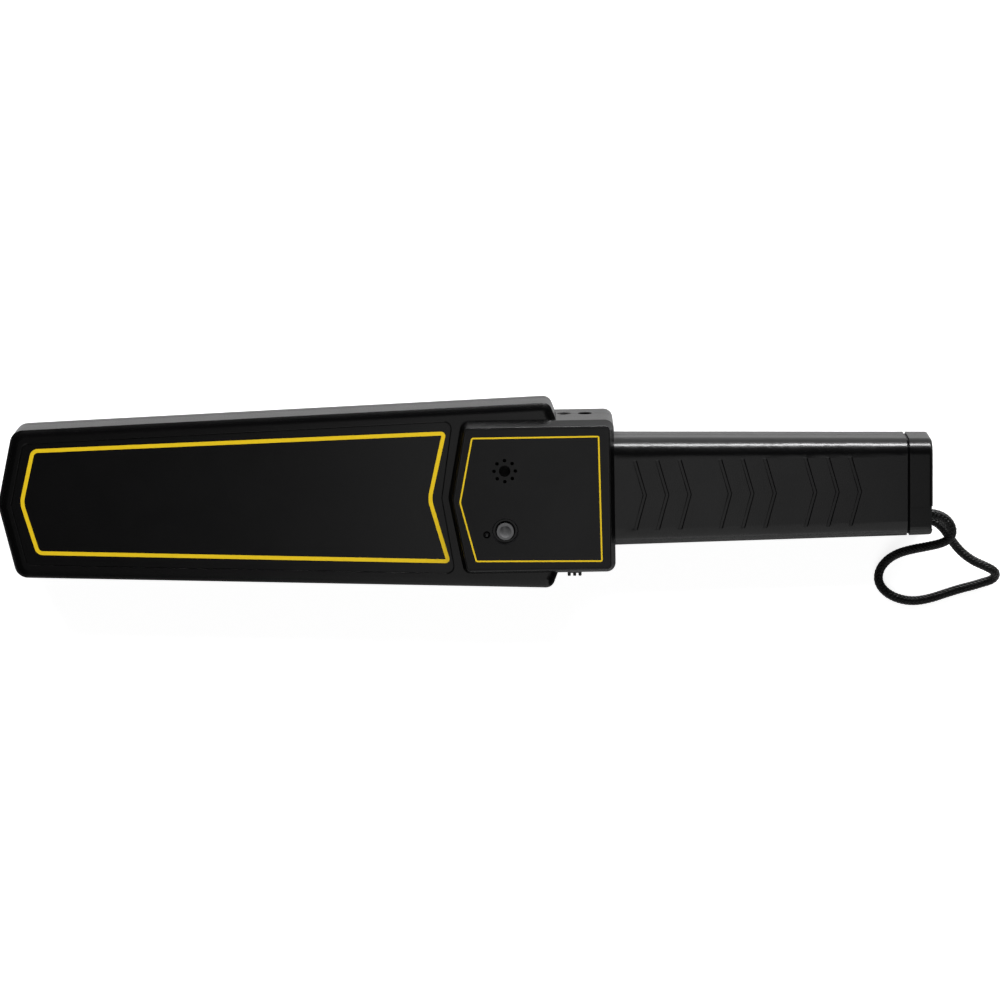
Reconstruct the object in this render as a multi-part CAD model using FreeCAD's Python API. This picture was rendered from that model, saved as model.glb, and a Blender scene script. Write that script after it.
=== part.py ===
import FreeCAD, Part
import math
import os

os.makedirs("parts", exist_ok=True)

V = FreeCAD.Vector

# Hand-held security metal detector wand, lying on its back.
# X runs from the paddle's tip to the end cap, Y across the wand, Z out of its front face.
# The origin is under the middle of the wand, on the surface that it lies on.
# Lengths are in millimetres. A station is a distance from the paddle's tip.

# Lengths along the wand
head_length = 204.0
block_length = 66.5
handle_length = 128.3
seam_width = 1.2
cap_length = 10.0
overall_length = head_length + block_length + handle_length + seam_width + cap_length

# Paddle
paddle_tip_depth = 7.4
paddle_tip_width = 65.4
paddle_end_width = 82.4
paddle_lift = 7.5
paddle_thickness = 25.5
paddle_tip_radius = 8.0
paddle_corner_radius = 6.0
paddle_edge_radius = 3.0
rim_radius = 5.6
rim_start_angle = 45.0
rim_steps = 3
rim_edge_radius = 0.4
wing_overlap = 41.8
wing_slant = 3.3
wing_corner_radius = 4.0
wing_sink = 1.1

# Control block
block_width = 67.5
block_height = 40.0
block_tip_depth = 6.3
block_tip_radius = 3.0
block_corner_radius = 4.0
block_back_radius = 3.0
bevel_inset = 2.0
bevel_height = 5.5
bevel_edge_radius = 0.6

# Handle
handle_root_width = 48.0
handle_end_width = 43.4
handle_height = 31.0
handle_root_front_radius = 8.6
handle_end_front_radius = 7.4
handle_back_radius = 7.0
handle_root_sink = 8.0

# Shells
wall = 2.2
parting_height = 15.5
shadow_gap = 0.3
shadow_depth = 0.6
least_radius = 0.4
overrun = 1.0
match_tolerance = 0.004

# Clearances
seat_gap = 0.1
running_clearance = 0.05
slip_clearance = 0.25

# Labels
label_margin = 6.0
label_block_gap = 4.2
label_notch_depth = 5.2
label_corner_radius = 3.0
label_recess = 0.6
label_edge_radius = 0.5
label_thickness = 0.5
label_clearance = 0.15
control_label_rim = 0.7

# Chevron grooves of the grip
chevron_groups = 3
chevrons_in_group = 3
chevron_inset = 8.4
chevron_pitch = 9.8
chevron_group_pitch = 37.3
chevron_half_height = 15.2
chevron_apex = 4.3
chevron_width = 1.1
chevron_slope = 0.4
chevron_depth = 0.25
chevron_drop = 0.7

# Coil and foam in the paddle
former_end_gap = 14.0
former_clearance = 0.3
rear_foam_thickness = 4.5
former_thickness = 8.0
groove_height = 5.0
groove_depth = 3.5
winding_gap = 0.5
winding_clearance = 0.1

# Housing screws
screw_head_radius = 2.75
screw_head_height = 2.2
screw_shank_radius = 1.4
screw_grip = 5.0
screw_bite = 8.0
screw_hole_radius = 1.6
counterbore_radius = 3.1
rear_boss_radius = 4.2
front_boss_radius = 3.4
drive_slot_width = 0.8
drive_slot_share = 0.65
drive_slot_depth = 1.0
screw_rim_share = 0.3
paddle_screw_from_tip = 40.0
paddle_screw_spacing = 110.0
block_screw_inset = 4.5
block_screw_half_pitch = 27.0
root_screw_inset = 6.0
root_screw_half_pitch = 15.5
grip_screw_gap_share = 0.09

# Main board
board_thickness = 1.6
board_room = 15.8
board_front_inset = 8.6
board_back_inset = 4.5
board_half_width = 28.0
board_post_radius = 3.0
board_screw_head_radius = 2.4
board_screw_head_height = 1.8
board_screw_shank_radius = 1.1
board_screw_length = 8.0
front_post_inset = 3.4
front_post_half_pitch = 24.5
back_post_inset = 4.5
back_post_half_pitch = 12.0

# Speaker behind its grille
speaker_inset = 18.6
speaker_side = 12.6
grille_hole_radius = 2.5
grille_ring_radius = 4.65
grille_small_radius = 0.8
grille_small_holes = 8
screen_radius = 7.5
screen_thickness = 0.3
speaker_radius = 10.0
speaker_height = 4.5
speaker_dish_radius = 8.4
speaker_dish_floor_radius = 3.0
speaker_dish_depth = 2.5
magnet_radius = 6.5
magnet_height = 2.4

# Push button and the switch under it
button_inset = 18.4
button_side = -14.2
button_radius = 3.7
button_proud = 0.2
button_dish_radius = 2.65
button_dish_depth = 0.9
button_well_radius = 5.3
button_well_depth = 1.6
button_well_chamfer = 0.5
button_guide_wall = 1.8
button_guide_length = 6.4
button_flange_radius = 5.0
button_flange_height = 1.2
button_return_gap = 0.3
tact_width = 6.0
tact_height = 3.6
tact_recess = 1.8
plunger_radius = 1.7
plunger_seat = 2.0
plunger_lap = 0.8

# Indicator lamp
lamp_inset = 10.3
lamp_side = -15.5
lamp_radius = 1.5
lamp_hole_radius = 1.6
lamp_flange_radius = 1.9
lamp_flange_height = 1.0
lamp_sink = 0.1
lamp_lead_radius = 0.25
lamp_lead_pitch = 2.0

# Power switch on the lower side wall
switch_inset = 17.9
switch_travel = 2.0
switch_body_length = 14.0
switch_body_depth = 7.0
switch_body_below = 3.5
stem_length = 3.0
stem_height = 2.6
stem_reach = 1.8
slot_clearance = 0.3
knob_length = 6.2
knob_height = 5.2
knob_base = 3.4
knob_proud = 4.9
knob_ribs = 3
knob_rib_width = 1.4
knob_rib_round = 0.4
knob_wall_gap = 0.2

# Sockets on the upper side wall
socket_drop = 6.5
earphone_inset = 21.5
earphone_bore_radius = 1.75
earphone_bore_depth = 14.0
earphone_nose_radius = 2.9
earphone_nose_hole_radius = 3.0
earphone_nose_sink = 0.2
earphone_body_width = 8.0
earphone_body_depth = 13.8
earphone_body_below = 3.5
charge_inset = 12.3
charge_hole_radius = 3.1
charge_bore_radius = 2.85
charge_bore_depth = 9.5
charge_pin_radius = 1.05
charge_pin_length = 8.5
charge_body_width = 9.0
charge_body_depth = 13.0
charge_body_below = 4.9
socket_wall_gap = 0.2

# Sensitivity trimmer under the board
trimmer_inset = 28.0
trimmer_side = -8.0
trimmer_radius = 3.3
trimmer_height = 4.0
trimmer_rotor_radius = 2.4
trimmer_rotor_height = 1.8
trimmer_seat_depth = 1.0
trimmer_slot_width = 0.7
trimmer_slot_depth = 0.6
trimmer_access_radius = 2.2

# Parts on the board
chip_width = 6.4
chip_height = 3.6
chip_pitch = 2.54
chip_pin_width = 0.6
chip_pin_gap = 7.62
chip_margin = 1.2
chip_pins = 7
chip_inset = 40.0
chip_side = -6.0
small_chip_pins = 4
small_chip_inset = 42.0
small_chip_side = 8.0
capacitor_radius = 3.0
capacitor_height = 7.5
capacitor_rim = 0.4
capacitor_count = 3
capacitor_pitch = 8.5
capacitor_inset = 32.0
capacitor_side = -21.5
resistor_radius = 0.9
resistor_length = 5.0
resistor_wire_radius = 0.3
resistor_lift = 0.2
resistor_count = 6
resistor_pitch = 3.2
resistor_inset = 34.0
resistor_side = 20.5

# Vibration motor in the grip
motor_gap_share = 0.5
motor_radius = 3.0
motor_length = 10.0
motor_shaft_radius = 0.5
motor_shaft_sink = 4.0
weight_radius = 2.7
weight_length = 3.5
weight_gap = 2.0
cradle_half_width = 5.0
cradle_thickness = 1.6
cradle_inset = 1.4

# Battery in the grip
bulkhead_gap_share = 0.08
bulkhead_thickness = 1.6
lead_gate_width = 5.0
lead_gate_height = 6.0
lead_gate_gap = 1.0
battery_end_gap = 4.0
battery_length = 46.0
battery_width = 26.5
battery_thickness = 17.5
battery_corner_radius = 1.5
terminal_height = 2.8
terminal_pitch = 12.7
plus_radius = 2.9
minus_radius = 3.4
terminal_clearance = 0.1
snap_height = 4.5
snap_width = 25.0
snap_thickness = 14.0
snap_lift_gap = 0.2
pad_thickness = 2.5
rail_thickness = 1.6
rail_half_pitch = 8.0
fence_gap = 2.3
battery_side_gap = 0.3
battery_top_gap = 0.3

# Leads inside the housing
lead_diameter = 1.3
lead_run = 8.0
lead_rise = 7.0
lead_sway = 0.6
lead_board_inset = 3.0
coil_lead_side = 7.0
motor_lead_side = 2.5
speaker_lead_sway = 1.0
lead_end_share = 0.32

# End cap
spigot_length = 12.8
spigot_wall = 1.6
cap_wall = 2.4
cap_end_wall = 3.0
cap_shoulder = 1.2
cap_edge_radius = 1.5
cap_collar_inset = 0.9
channel_low_side = -18.6
channel_high_side = -7.8
channel_depth = 0.5

# Wrist strap, a braided cord whose two ends go through the end cap to one knot
cord_diameter = 4.2
cord_hole_radius = 2.3
cord_arc_share = 0.45
knot_radius = 2.5
knot_length = 5.2
knot_edge_radius = 1.2
knot_groove_width = 0.8
knot_groove_depth = 0.5

# The cord's route from one hole to the other: millimetres past the end cap's face, across, and up
cord_route = [
    (-3.2, -12.7, 20.5),
    (1.0, -12.7, 20.5),
    (5.4, -14.3, 20.4),
    (8.6, -17.4, 19.8),
    (9.9, -21.5, 18.7),
    (8.5, -25.2, 17.4),
    (4.8, -27.3, 15.8),
    (-0.8, -29.0, 13.2),
    (-7.2, -30.8, 9.6),
    (-13.0, -33.1, 5.9),
    (-17.8, -36.6, 3.0),
    (-21.2, -41.2, 2.1),
    (-21.9, -46.6, 2.1),
    (-18.8, -51.4, 2.1),
    (-13.1, -54.7, 2.1),
    (-6.0, -56.0, 2.1),
    (1.5, -54.8, 2.1),
    (8.8, -52.4, 2.1),
    (15.6, -50.4, 2.1),
    (20.4, -49.3, 2.1),
    (24.3, -48.1, 2.1),
    (28.6, -46.9, 2.3),
    (30.3, -45.1, 3.7),
    (30.3, -42.9, 5.4),
    (28.5, -41.1, 6.8),
    (24.4, -38.9, 7.8),
    (19.8, -36.7, 8.4),
    (14.8, -32.8, 8.9),
    (11.2, -28.4, 9.6),
    (8.4, -24.2, 10.9),
    (5.6, -20.1, 13.1),
    (1.3, -16.4, 16.3),
    (-3.2, -16.4, 16.3),
]

# Places worked out from the sizes above
tip_x = -overall_length / 2
root_station = head_length + block_length
grip_end_station = root_station + handle_length
cap_station = grip_end_station + seam_width
paddle_front = paddle_lift + paddle_thickness
bevel_start = block_height - bevel_height
rim_start = paddle_front - rim_radius * (1 - math.sin(math.radians(rim_start_angle)))
wing_station = head_length + wing_overlap
paddle_face = paddle_front - label_recess
block_face = block_height - label_recess
paddle_ceiling = paddle_face - wall
block_ceiling = block_face - wall
paddle_floor = paddle_lift + wall
board_top = block_face - board_room
board_bottom = board_top - board_thickness
socket_height = board_bottom - socket_drop
former_length = head_length - former_end_gap
speaker_station = head_length + speaker_inset
button_station = head_length + button_inset
lamp_station = head_length + lamp_inset
trimmer_station = head_length + trimmer_inset
switch_station = root_station - switch_inset
earphone_station = root_station - earphone_inset
charge_station = root_station - charge_inset
button_guide_bottom = block_face - button_guide_length
screw_seat = parting_height - screw_grip
battery_start = grip_end_station - spigot_length - battery_end_gap - battery_length
snap_start = battery_start - snap_lift_gap - snap_height
motor_run = motor_length + weight_gap + weight_length
handle_slack = snap_start - root_station - motor_run - 2 * rear_boss_radius - bulkhead_thickness
motor_start = root_station + handle_slack * motor_gap_share
grip_screw_station = motor_start + motor_run + handle_slack * grip_screw_gap_share + rear_boss_radius
bulkhead_station = grip_screw_station + rear_boss_radius + handle_slack * bulkhead_gap_share
battery_low = wall + pad_thickness
lead_lane = -cradle_half_width - lead_gate_width / 2 - lead_gate_gap
block_inner_side = block_width / 2 - wall
core_depth = wall / 2


def at(station):
    """X of a place along the wand."""
    return tip_x + station


def on_level(z):
    """Places a flat outline at a height."""
    return lambda x, y: V(x, y, z)


def on_station(station):
    """Places a cross-section at a station, its first number across and its second up."""
    return lambda y, z: V(at(station), y, z)


def rounded_wire(corners, place):
    """Closed wire through (u, v, radius) corners, each corner rounded by an arc."""
    count = len(corners)
    arcs = []
    for i, (u, v, radius) in enumerate(corners):
        here = place(u, v)
        before = place(*corners[i - 1][:2])
        after = place(*corners[(i + 1) % count][:2])
        toward_before = (before - here).normalize()
        toward_after = (after - here).normalize()
        half_angle = toward_before.getAngle(toward_after) / 2
        reach = radius / math.tan(half_angle)
        middle = (toward_before + toward_after).normalize()
        depth = radius / math.sin(half_angle) - radius
        arcs.append((here + toward_before * reach, here + middle * depth, here + toward_after * reach))
    edges = []
    for i, (start, middle, end) in enumerate(arcs):
        edges.append(Part.Arc(start, middle, end).toShape())
        edges.append(Part.LineSegment(end, arcs[(i + 1) % count][0]).toShape())
    return Part.Wire(edges)


def inset(corners, distance):
    """Moves every side of an anticlockwise outline inwards."""
    moved = []
    count = len(corners)
    for i, (u, v, radius) in enumerate(corners):
        before = corners[i - 1]
        after = corners[(i + 1) % count]
        inward = V(u - before[0], v - before[1], 0).normalize()
        outward = V(after[0] - u, after[1] - v, 0).normalize()
        normal_in = V(-inward.y, inward.x, 0)
        normal_out = V(-outward.y, outward.x, 0)
        both = normal_in + normal_out
        share = distance / (1 + normal_in.dot(normal_out))
        turns_left = inward.cross(outward).z > 0
        new_radius = radius - distance if turns_left else radius + distance
        moved.append((u + both.x * share, v + both.y * share, max(new_radius, least_radius)))
    return moved


def prism(corners, low, high):
    """Upright solid of an outline between two heights."""
    return Part.Face(rounded_wire(corners, on_level(low))).extrude(V(0, 0, high - low))


def box_between(x_low, x_high, y_low, y_high, z_low, z_high):
    """Plain box between two corners."""
    return Part.makeBox(x_high - x_low, y_high - y_low, z_high - z_low, V(x_low, y_low, z_low))


def post(x, y, low, high, radius):
    """Upright cylinder."""
    return Part.makeCylinder(radius, high - low, V(x, y, low))


def level_edges(shape, height):
    """Edges that lie wholly at one height."""
    found = []
    for edge in shape.Edges:
        box = edge.BoundBox
        if abs(box.ZMin - height) < match_tolerance and abs(box.ZMax - height) < match_tolerance:
            found.append(edge)
    return found


def save(name, shape):
    """Writes one node and says what it holds."""
    if not shape.isValid():
        print("not valid:", name)
    shape.exportStep("parts/%s.step" % name)
    box = shape.BoundBox
    print("%-20s solids %d volume %9.1f  size %.1f x %.1f x %.1f" % (
        name, len(shape.Solids), shape.Volume, box.XLength, box.YLength, box.ZLength))


# Outer forms


def paddle_half_width(station):
    """Half the paddle's width, which grows evenly from its tip corners to its wings."""
    run = wing_station - wing_slant - paddle_tip_depth
    share = (station - paddle_tip_depth) / run
    return (paddle_tip_width + (paddle_end_width - paddle_tip_width) * share) / 2


def paddle_outline():
    """Arrow-ended paddle, whose wings end in the block's side walls."""
    wing_side = block_width / 2 - wing_sink
    outer_x = at(wing_station - wing_slant)
    return [
        (at(0), 0, paddle_tip_radius),
        (at(paddle_tip_depth), -paddle_tip_width / 2, paddle_corner_radius),
        (outer_x, -paddle_end_width / 2, wing_corner_radius),
        (at(wing_station), -wing_side, least_radius),
        (at(wing_station), wing_side, least_radius),
        (outer_x, paddle_end_width / 2, wing_corner_radius),
        (at(paddle_tip_depth), paddle_tip_width / 2, paddle_corner_radius),
    ]


def paddle_slice(distance, end_station):
    """The paddle's outline drawn in by a distance and cut square at a station."""
    drawn_in = inset(paddle_outline(), distance)
    end_side = paddle_half_width(end_station) - distance
    return [
        drawn_in[0],
        drawn_in[1],
        (at(end_station), -end_side, least_radius),
        (at(end_station), end_side, least_radius),
        drawn_in[-1],
    ]


def block_outline():
    """Control block, with an arrow front towards the paddle."""
    side = block_width / 2
    return [
        (at(head_length - block_tip_depth), 0, block_tip_radius),
        (at(head_length), -side, block_corner_radius),
        (at(root_station), -side, block_corner_radius),
        (at(root_station), side, block_corner_radius),
        (at(head_length), side, block_corner_radius),
    ]


def block_form(distance, low, high):
    """The block drawn in by a distance: upright walls, then the bevel round its front."""
    share = (high - bevel_start) / bevel_height
    outer = inset(block_outline(), distance)
    inner = inset(block_outline(), distance + bevel_inset * share)
    bevel = Part.makeLoft(
        [rounded_wire(outer, on_level(bevel_start)), rounded_wire(inner, on_level(high))], True, True)
    return prism(outer, low, bevel_start).fuse(bevel)


def handle_half_width(station):
    """Half the handle's width, which narrows evenly towards the end cap."""
    share = (station - root_station) / handle_length
    return (handle_root_width + (handle_end_width - handle_root_width) * share) / 2


def handle_front_radius(station):
    """Rounding of the handle's front edges, which shrinks evenly towards the end cap."""
    share = (station - root_station) / handle_length
    return handle_root_front_radius + (handle_end_front_radius - handle_root_front_radius) * share


def handle_section(station, distance, place_station):
    """Rounded cross-section of the handle at a station, drawn in and placed at another."""
    side = handle_half_width(station) - distance
    low = distance
    high = handle_height - distance
    back = max(handle_back_radius - distance, least_radius)
    front = max(handle_front_radius(station) - distance, least_radius)
    corners = [(-side, low, back), (side, low, back), (side, high, front), (-side, high, front)]
    return rounded_wire(corners, on_station(place_station))


def handle_form(distance, start, end):
    """The handle drawn in by a distance, between two stations."""
    return Part.makeLoft(
        [handle_section(start, distance, start), handle_section(end, distance, end)], True, True)


def straight_form(station, distance, start, end):
    """One cross-section of the handle carried straight between two stations."""
    return Part.makeLoft(
        [handle_section(station, distance, start), handle_section(station, distance, end)], True, True)


def whole_form(distance, end_station):
    """Paddle, block and handle drawn in by a distance below their faces, as one solid."""
    paddle = prism(inset(paddle_outline(), distance), paddle_lift + distance, paddle_face - distance)
    block = block_form(distance, distance, block_face - distance)
    handle = handle_form(distance, root_station - handle_root_sink, end_station)
    return paddle.fuse([block, handle])


def paddle_rim():
    """Crown round the paddle's front: an arc that leaves the wall at an angle and ends level."""
    wires = []
    for step in range(rim_steps + 1):
        angle = math.radians(rim_start_angle + (90 - rim_start_angle) * step / rim_steps)
        drawn_in = rim_radius * (math.cos(math.radians(rim_start_angle)) - math.cos(angle))
        level = paddle_front - rim_radius * (1 - math.sin(angle))
        wires.append(rounded_wire(inset(paddle_outline(), drawn_in), on_level(level)))
    return Part.makeLoft(wires, True, False)


def outer_form():
    """The wand's outside, with its edges rounded."""
    paddle = prism(paddle_outline(), paddle_lift, rim_start).fuse(paddle_rim())
    for height, radius in ((paddle_lift, paddle_edge_radius), (rim_start, rim_edge_radius)):
        paddle = paddle.makeFillet(radius, level_edges(paddle, height))
    block = block_form(0, 0, block_height)
    for height, radius in ((0, block_back_radius), (block_height, bevel_edge_radius)):
        block = block.makeFillet(radius, level_edges(block, height))
    handle = handle_form(0, root_station - handle_root_sink, grip_end_station)
    return paddle.fuse([block, handle])


def slab(low, high):
    """Everything between two heights."""
    reach = overall_length
    return box_between(-reach, reach, -reach, reach, low, high)


def shadow_line():
    """Narrow gap that shows between the shells, all round the wand."""
    low = parting_height - shadow_gap / 2
    high = parting_height + shadow_gap / 2
    kept = prism(inset(paddle_outline(), shadow_depth), low, high)
    kept = kept.fuse([
        prism(inset(block_outline(), shadow_depth), low, high),
        handle_form(shadow_depth, root_station - handle_root_sink, grip_end_station + overrun),
    ])
    return slab(low, high).cut(kept)


# Labels


def paddle_label_outline(distance):
    """Label field of the paddle: its left end follows the tip, its right end the block's arrow."""
    drawn_in = inset(paddle_outline(), label_margin)
    end_station = head_length - label_block_gap
    end_side = paddle_half_width(end_station) - label_margin
    field = [
        drawn_in[0],
        (drawn_in[1][0], drawn_in[1][1], label_corner_radius),
        (at(end_station), -end_side, label_corner_radius),
        (at(end_station - label_notch_depth), 0, label_corner_radius),
        (at(end_station), end_side, label_corner_radius),
        (drawn_in[-1][0], drawn_in[-1][1], label_corner_radius),
    ]
    return inset(field, distance)


def paddle_label_mouth():
    """Flare of the paddle's label recess, which rounds the shell's edge there."""
    wires = []
    for step in range(rim_steps + 1):
        angle = math.radians(90 * step / rim_steps)
        spread = label_edge_radius * (1 - math.cos(angle))
        level = paddle_front - label_edge_radius * (1 - math.sin(angle))
        wires.append(rounded_wire(paddle_label_outline(-spread), on_level(level)))
    return Part.makeLoft(wires, True, False)


def control_label_outline(distance):
    """Label field of the control block."""
    return inset(block_outline(), bevel_inset + control_label_rim + distance)


def grille_holes(low, high):
    """The speaker's large hole and the ring of small ones."""
    x = at(speaker_station)
    holes = [post(x, speaker_side, low, high, grille_hole_radius)]
    for i in range(grille_small_holes):
        angle = 2 * math.pi * i / grille_small_holes + math.pi / 2
        hole_x = x + grille_ring_radius * math.cos(angle)
        hole_y = speaker_side + grille_ring_radius * math.sin(angle)
        holes.append(post(hole_x, hole_y, low, high, grille_small_radius))
    return holes


def make_paddle_label():
    """Printed sheet in the paddle's recess."""
    save("paddle_label", prism(paddle_label_outline(label_clearance), paddle_face, paddle_face + label_thickness))


def make_control_label():
    """Printed sheet on the control block, open at the grille, the button and the lamp."""
    low = block_face
    high = block_face + label_thickness
    sheet = prism(control_label_outline(label_clearance), low, high)
    below = low - overrun
    above = high + overrun
    holes = grille_holes(below, above)
    holes.append(post(at(button_station), button_side, below, above, button_well_radius + button_well_chamfer))
    holes.append(post(at(lamp_station), lamp_side, below, above, lamp_hole_radius))
    save("control_label", sheet.cut(holes))


# Fasteners


def housing_screw_places():
    """Where the screws join the two shells."""
    first = paddle_screw_from_tip
    return [
        (at(first), 0),
        (at(first + paddle_screw_spacing), 0),
        (at(head_length + block_screw_inset), -block_screw_half_pitch),
        (at(head_length + block_screw_inset), block_screw_half_pitch),
        (at(root_station + root_screw_inset), -root_screw_half_pitch),
        (at(root_station + root_screw_inset), root_screw_half_pitch),
        (at(grip_screw_station), 0),
    ]


def board_screw_places():
    """Where the board is screwed to the front shell."""
    front_x = at(head_length + board_front_inset + front_post_inset)
    back_x = at(root_station - board_back_inset - back_post_inset)
    return [
        (front_x, -front_post_half_pitch),
        (front_x, front_post_half_pitch),
        (back_x, -back_post_half_pitch),
        (back_x, back_post_half_pitch),
    ]


def screw(x, y, seat, head_radius, head_height, shank_radius, shank_length):
    """Pan-head screw whose head lies under its seat, with a cross drive."""
    head = post(x, y, seat - head_height, seat, head_radius)
    rim = level_edges(head, seat - head_height)
    head = head.makeFillet(head_height * screw_rim_share, rim)
    shank = post(x, y, seat, seat + shank_length, shank_radius)
    long_half = head_radius * drive_slot_share
    short_half = drive_slot_width / 2
    low = seat - head_height - overrun
    high = seat - head_height + drive_slot_depth
    slots = [
        box_between(x - long_half, x + long_half, y - short_half, y + short_half, low, high),
        box_between(x - short_half, x + short_half, y - long_half, y + long_half, low, high),
    ]
    return head.fuse(shank).cut(slots)


def make_screws():
    """Housing screws from the back, and board screws from below the board."""
    housing = []
    for x, y in housing_screw_places():
        housing.append(screw(x, y, screw_seat, screw_head_radius, screw_head_height,
                             screw_shank_radius, screw_grip + screw_bite))
    save("housing_screws", Part.makeCompound(housing))
    board = []
    for x, y in board_screw_places():
        board.append(screw(x, y, board_bottom, board_screw_head_radius, board_screw_head_height,
                           board_screw_shank_radius, board_screw_length))
    save("board_screws", Part.makeCompound(board))


# Openings in the side walls


def socket_openings():
    """Holes of the two sockets and the slot of the power switch."""
    side = V(0, 1, 0)
    inner = block_inner_side - overrun
    length = wall + 2 * overrun
    earphone = Part.makeCylinder(earphone_nose_hole_radius, length, V(at(earphone_station), inner, socket_height), side)
    charge = Part.makeCylinder(charge_hole_radius, length, V(at(charge_station), inner, socket_height), side)
    half_length = stem_length / 2 + switch_travel + slot_clearance
    half_height = stem_height / 2 + slot_clearance
    x = at(switch_station)
    slot = box_between(x - half_length, x + half_length, -inner - length, -inner,
                     socket_height - half_height, socket_height + half_height)
    return [earphone, charge, slot]


# Ribs and cradles inside the handle


def cradle_ribs(low, high):
    """Two ribs that hold the motor's body, between two heights."""
    stations = (motor_start + cradle_inset, motor_start + motor_length - cradle_inset - cradle_thickness)
    ribs = []
    for station in stations:
        ribs.append(box_between(at(station), at(station + cradle_thickness),
                              -cradle_half_width, cradle_half_width, low, high))
    bore = Part.makeCylinder(motor_radius + running_clearance, motor_length,
                             V(at(motor_start), 0, parting_height), V(1, 0, 0))
    return [rib.cut(bore) for rib in ribs]


def bulkhead(low, high):
    """Rib across the handle in front of the battery, with a gate for the lead."""
    start = at(bulkhead_station)
    end = start + bulkhead_thickness
    side = handle_half_width(bulkhead_station)
    half = lead_gate_width / 2
    plate = box_between(start, end, -side, side, low, high)
    gate = box_between(start - overrun, end + overrun, lead_lane - half, lead_lane + half,
                       parting_height - lead_gate_height / 2, parting_height + lead_gate_height / 2)
    return plate.cut(gate)


# Shells


def chevron_outline(x, spread, level):
    """One arrow-shaped outline of the grip, widened all round, at a level."""
    half = chevron_half_height + spread
    low = x - spread
    high = x + chevron_width + spread
    corners = [(low, -half), (high, -half), (high + chevron_apex, 0), (high, half), (low, half), (low + chevron_apex, 0)]
    points = [V(u, v - chevron_drop, level) for u, v in corners]
    return Part.makePolygon(points + points[:1])


def chevrons():
    """Arrow-shaped grooves with sloping walls, in groups along the grip."""
    grooves = []
    past = chevron_slope * overrun / chevron_depth
    for group in range(chevron_groups):
        for number in range(chevrons_in_group):
            station = root_station + chevron_inset + group * chevron_group_pitch + number * chevron_pitch
            floor = chevron_outline(at(station), 0, handle_height - chevron_depth)
            mouth = chevron_outline(at(station), chevron_slope + past, handle_height + overrun)
            grooves.append(Part.makeLoft([floor, mouth], True, True))
    return grooves


def front_shell():
    """Front half of the housing."""
    shell = outer_form().common(slab(parting_height, 2 * block_height))
    shell = shell.cut(whole_form(wall, grip_end_station + overrun))
    inside = whole_form(core_depth, grip_end_station)
    added = []
    for x, y in housing_screw_places():
        added.append(post(x, y, parting_height, block_height, front_boss_radius))
    for x, y in board_screw_places():
        added.append(post(x, y, board_top, block_height, board_post_radius))
    button_x = at(button_station)
    added.append(post(button_x, button_side, button_guide_bottom, block_height, button_radius + button_guide_wall))
    added += cradle_ribs(parting_height, handle_height)
    added.append(bulkhead(parting_height, handle_height))
    rail_low = battery_low + battery_thickness + battery_top_gap
    start = battery_start
    for side in (-rail_half_pitch, rail_half_pitch):
        added.append(box_between(at(start), at(start + battery_length), side - rail_thickness / 2,
                               side + rail_thickness / 2, rail_low, handle_height))
    shell = shell.fuse([shape.common(inside) for shape in added])
    well_top = button_well_radius + button_well_chamfer
    cuts = [
        prism(paddle_label_outline(0), paddle_face, paddle_front + overrun),
        paddle_label_mouth(),
        prism(control_label_outline(0), block_face, block_height + overrun),
        post(button_x, button_side, button_guide_bottom - overrun, block_height, button_radius + slip_clearance / 2),
        post(button_x, button_side, block_face - button_well_depth, block_height, button_well_radius),
        Part.makeCone(button_well_radius, well_top, button_well_chamfer,
                      V(button_x, button_side, block_face - button_well_chamfer)),
        post(at(lamp_station), lamp_side, block_ceiling - overrun, block_height, lamp_hole_radius),
        shadow_line(),
    ]
    cuts += grille_holes(block_ceiling - overrun, block_height)
    cuts += socket_openings()
    cuts += chevrons()
    for x, y in housing_screw_places():
        cuts.append(post(x, y, parting_height - overrun, parting_height + screw_bite + overrun,
                         screw_shank_radius + running_clearance))
    for x, y in board_screw_places():
        cuts.append(post(x, y, board_top - overrun, board_bottom + board_screw_length + overrun,
                         board_screw_shank_radius + running_clearance))
    save("front_shell", shell.cut(cuts).removeSplitter())


def rear_shell():
    """Back half of the housing."""
    shell = outer_form().common(slab(-overrun, parting_height))
    shell = shell.cut(whole_form(wall, grip_end_station + overrun))
    inside = whole_form(core_depth, grip_end_station)
    added = []
    for x, y in housing_screw_places():
        added.append(post(x, y, 0, parting_height, rear_boss_radius))
    added += cradle_ribs(0, parting_height)
    added.append(bulkhead(0, parting_height))
    start = battery_start
    fence_side = battery_width / 2 + battery_side_gap
    for low_side in (-fence_side - rail_thickness, fence_side):
        added.append(box_between(at(start), at(start + battery_length), low_side, low_side + rail_thickness,
                               0, parting_height - fence_gap))
    shell = shell.fuse([shape.common(inside) for shape in added])
    cuts = [
        post(at(trimmer_station), trimmer_side, -overrun, wall + overrun, trimmer_access_radius),
        shadow_line(),
    ]
    cuts += socket_openings()
    for x, y in housing_screw_places():
        cuts.append(post(x, y, -overrun, screw_seat, counterbore_radius))
        cuts.append(post(x, y, screw_seat - overrun, parting_height + overrun, screw_hole_radius))
    save("rear_shell", shell.cut(cuts).removeSplitter())


# Coil, former and foam in the paddle


def boss_clearance_holes(low, high):
    """Room for the paddle's screw bosses through the foam and the former."""
    holes = []
    for x, y in housing_screw_places()[:2]:
        holes.append(post(x, y, low - overrun, high + overrun, rear_boss_radius + slip_clearance))
    return holes


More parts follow.
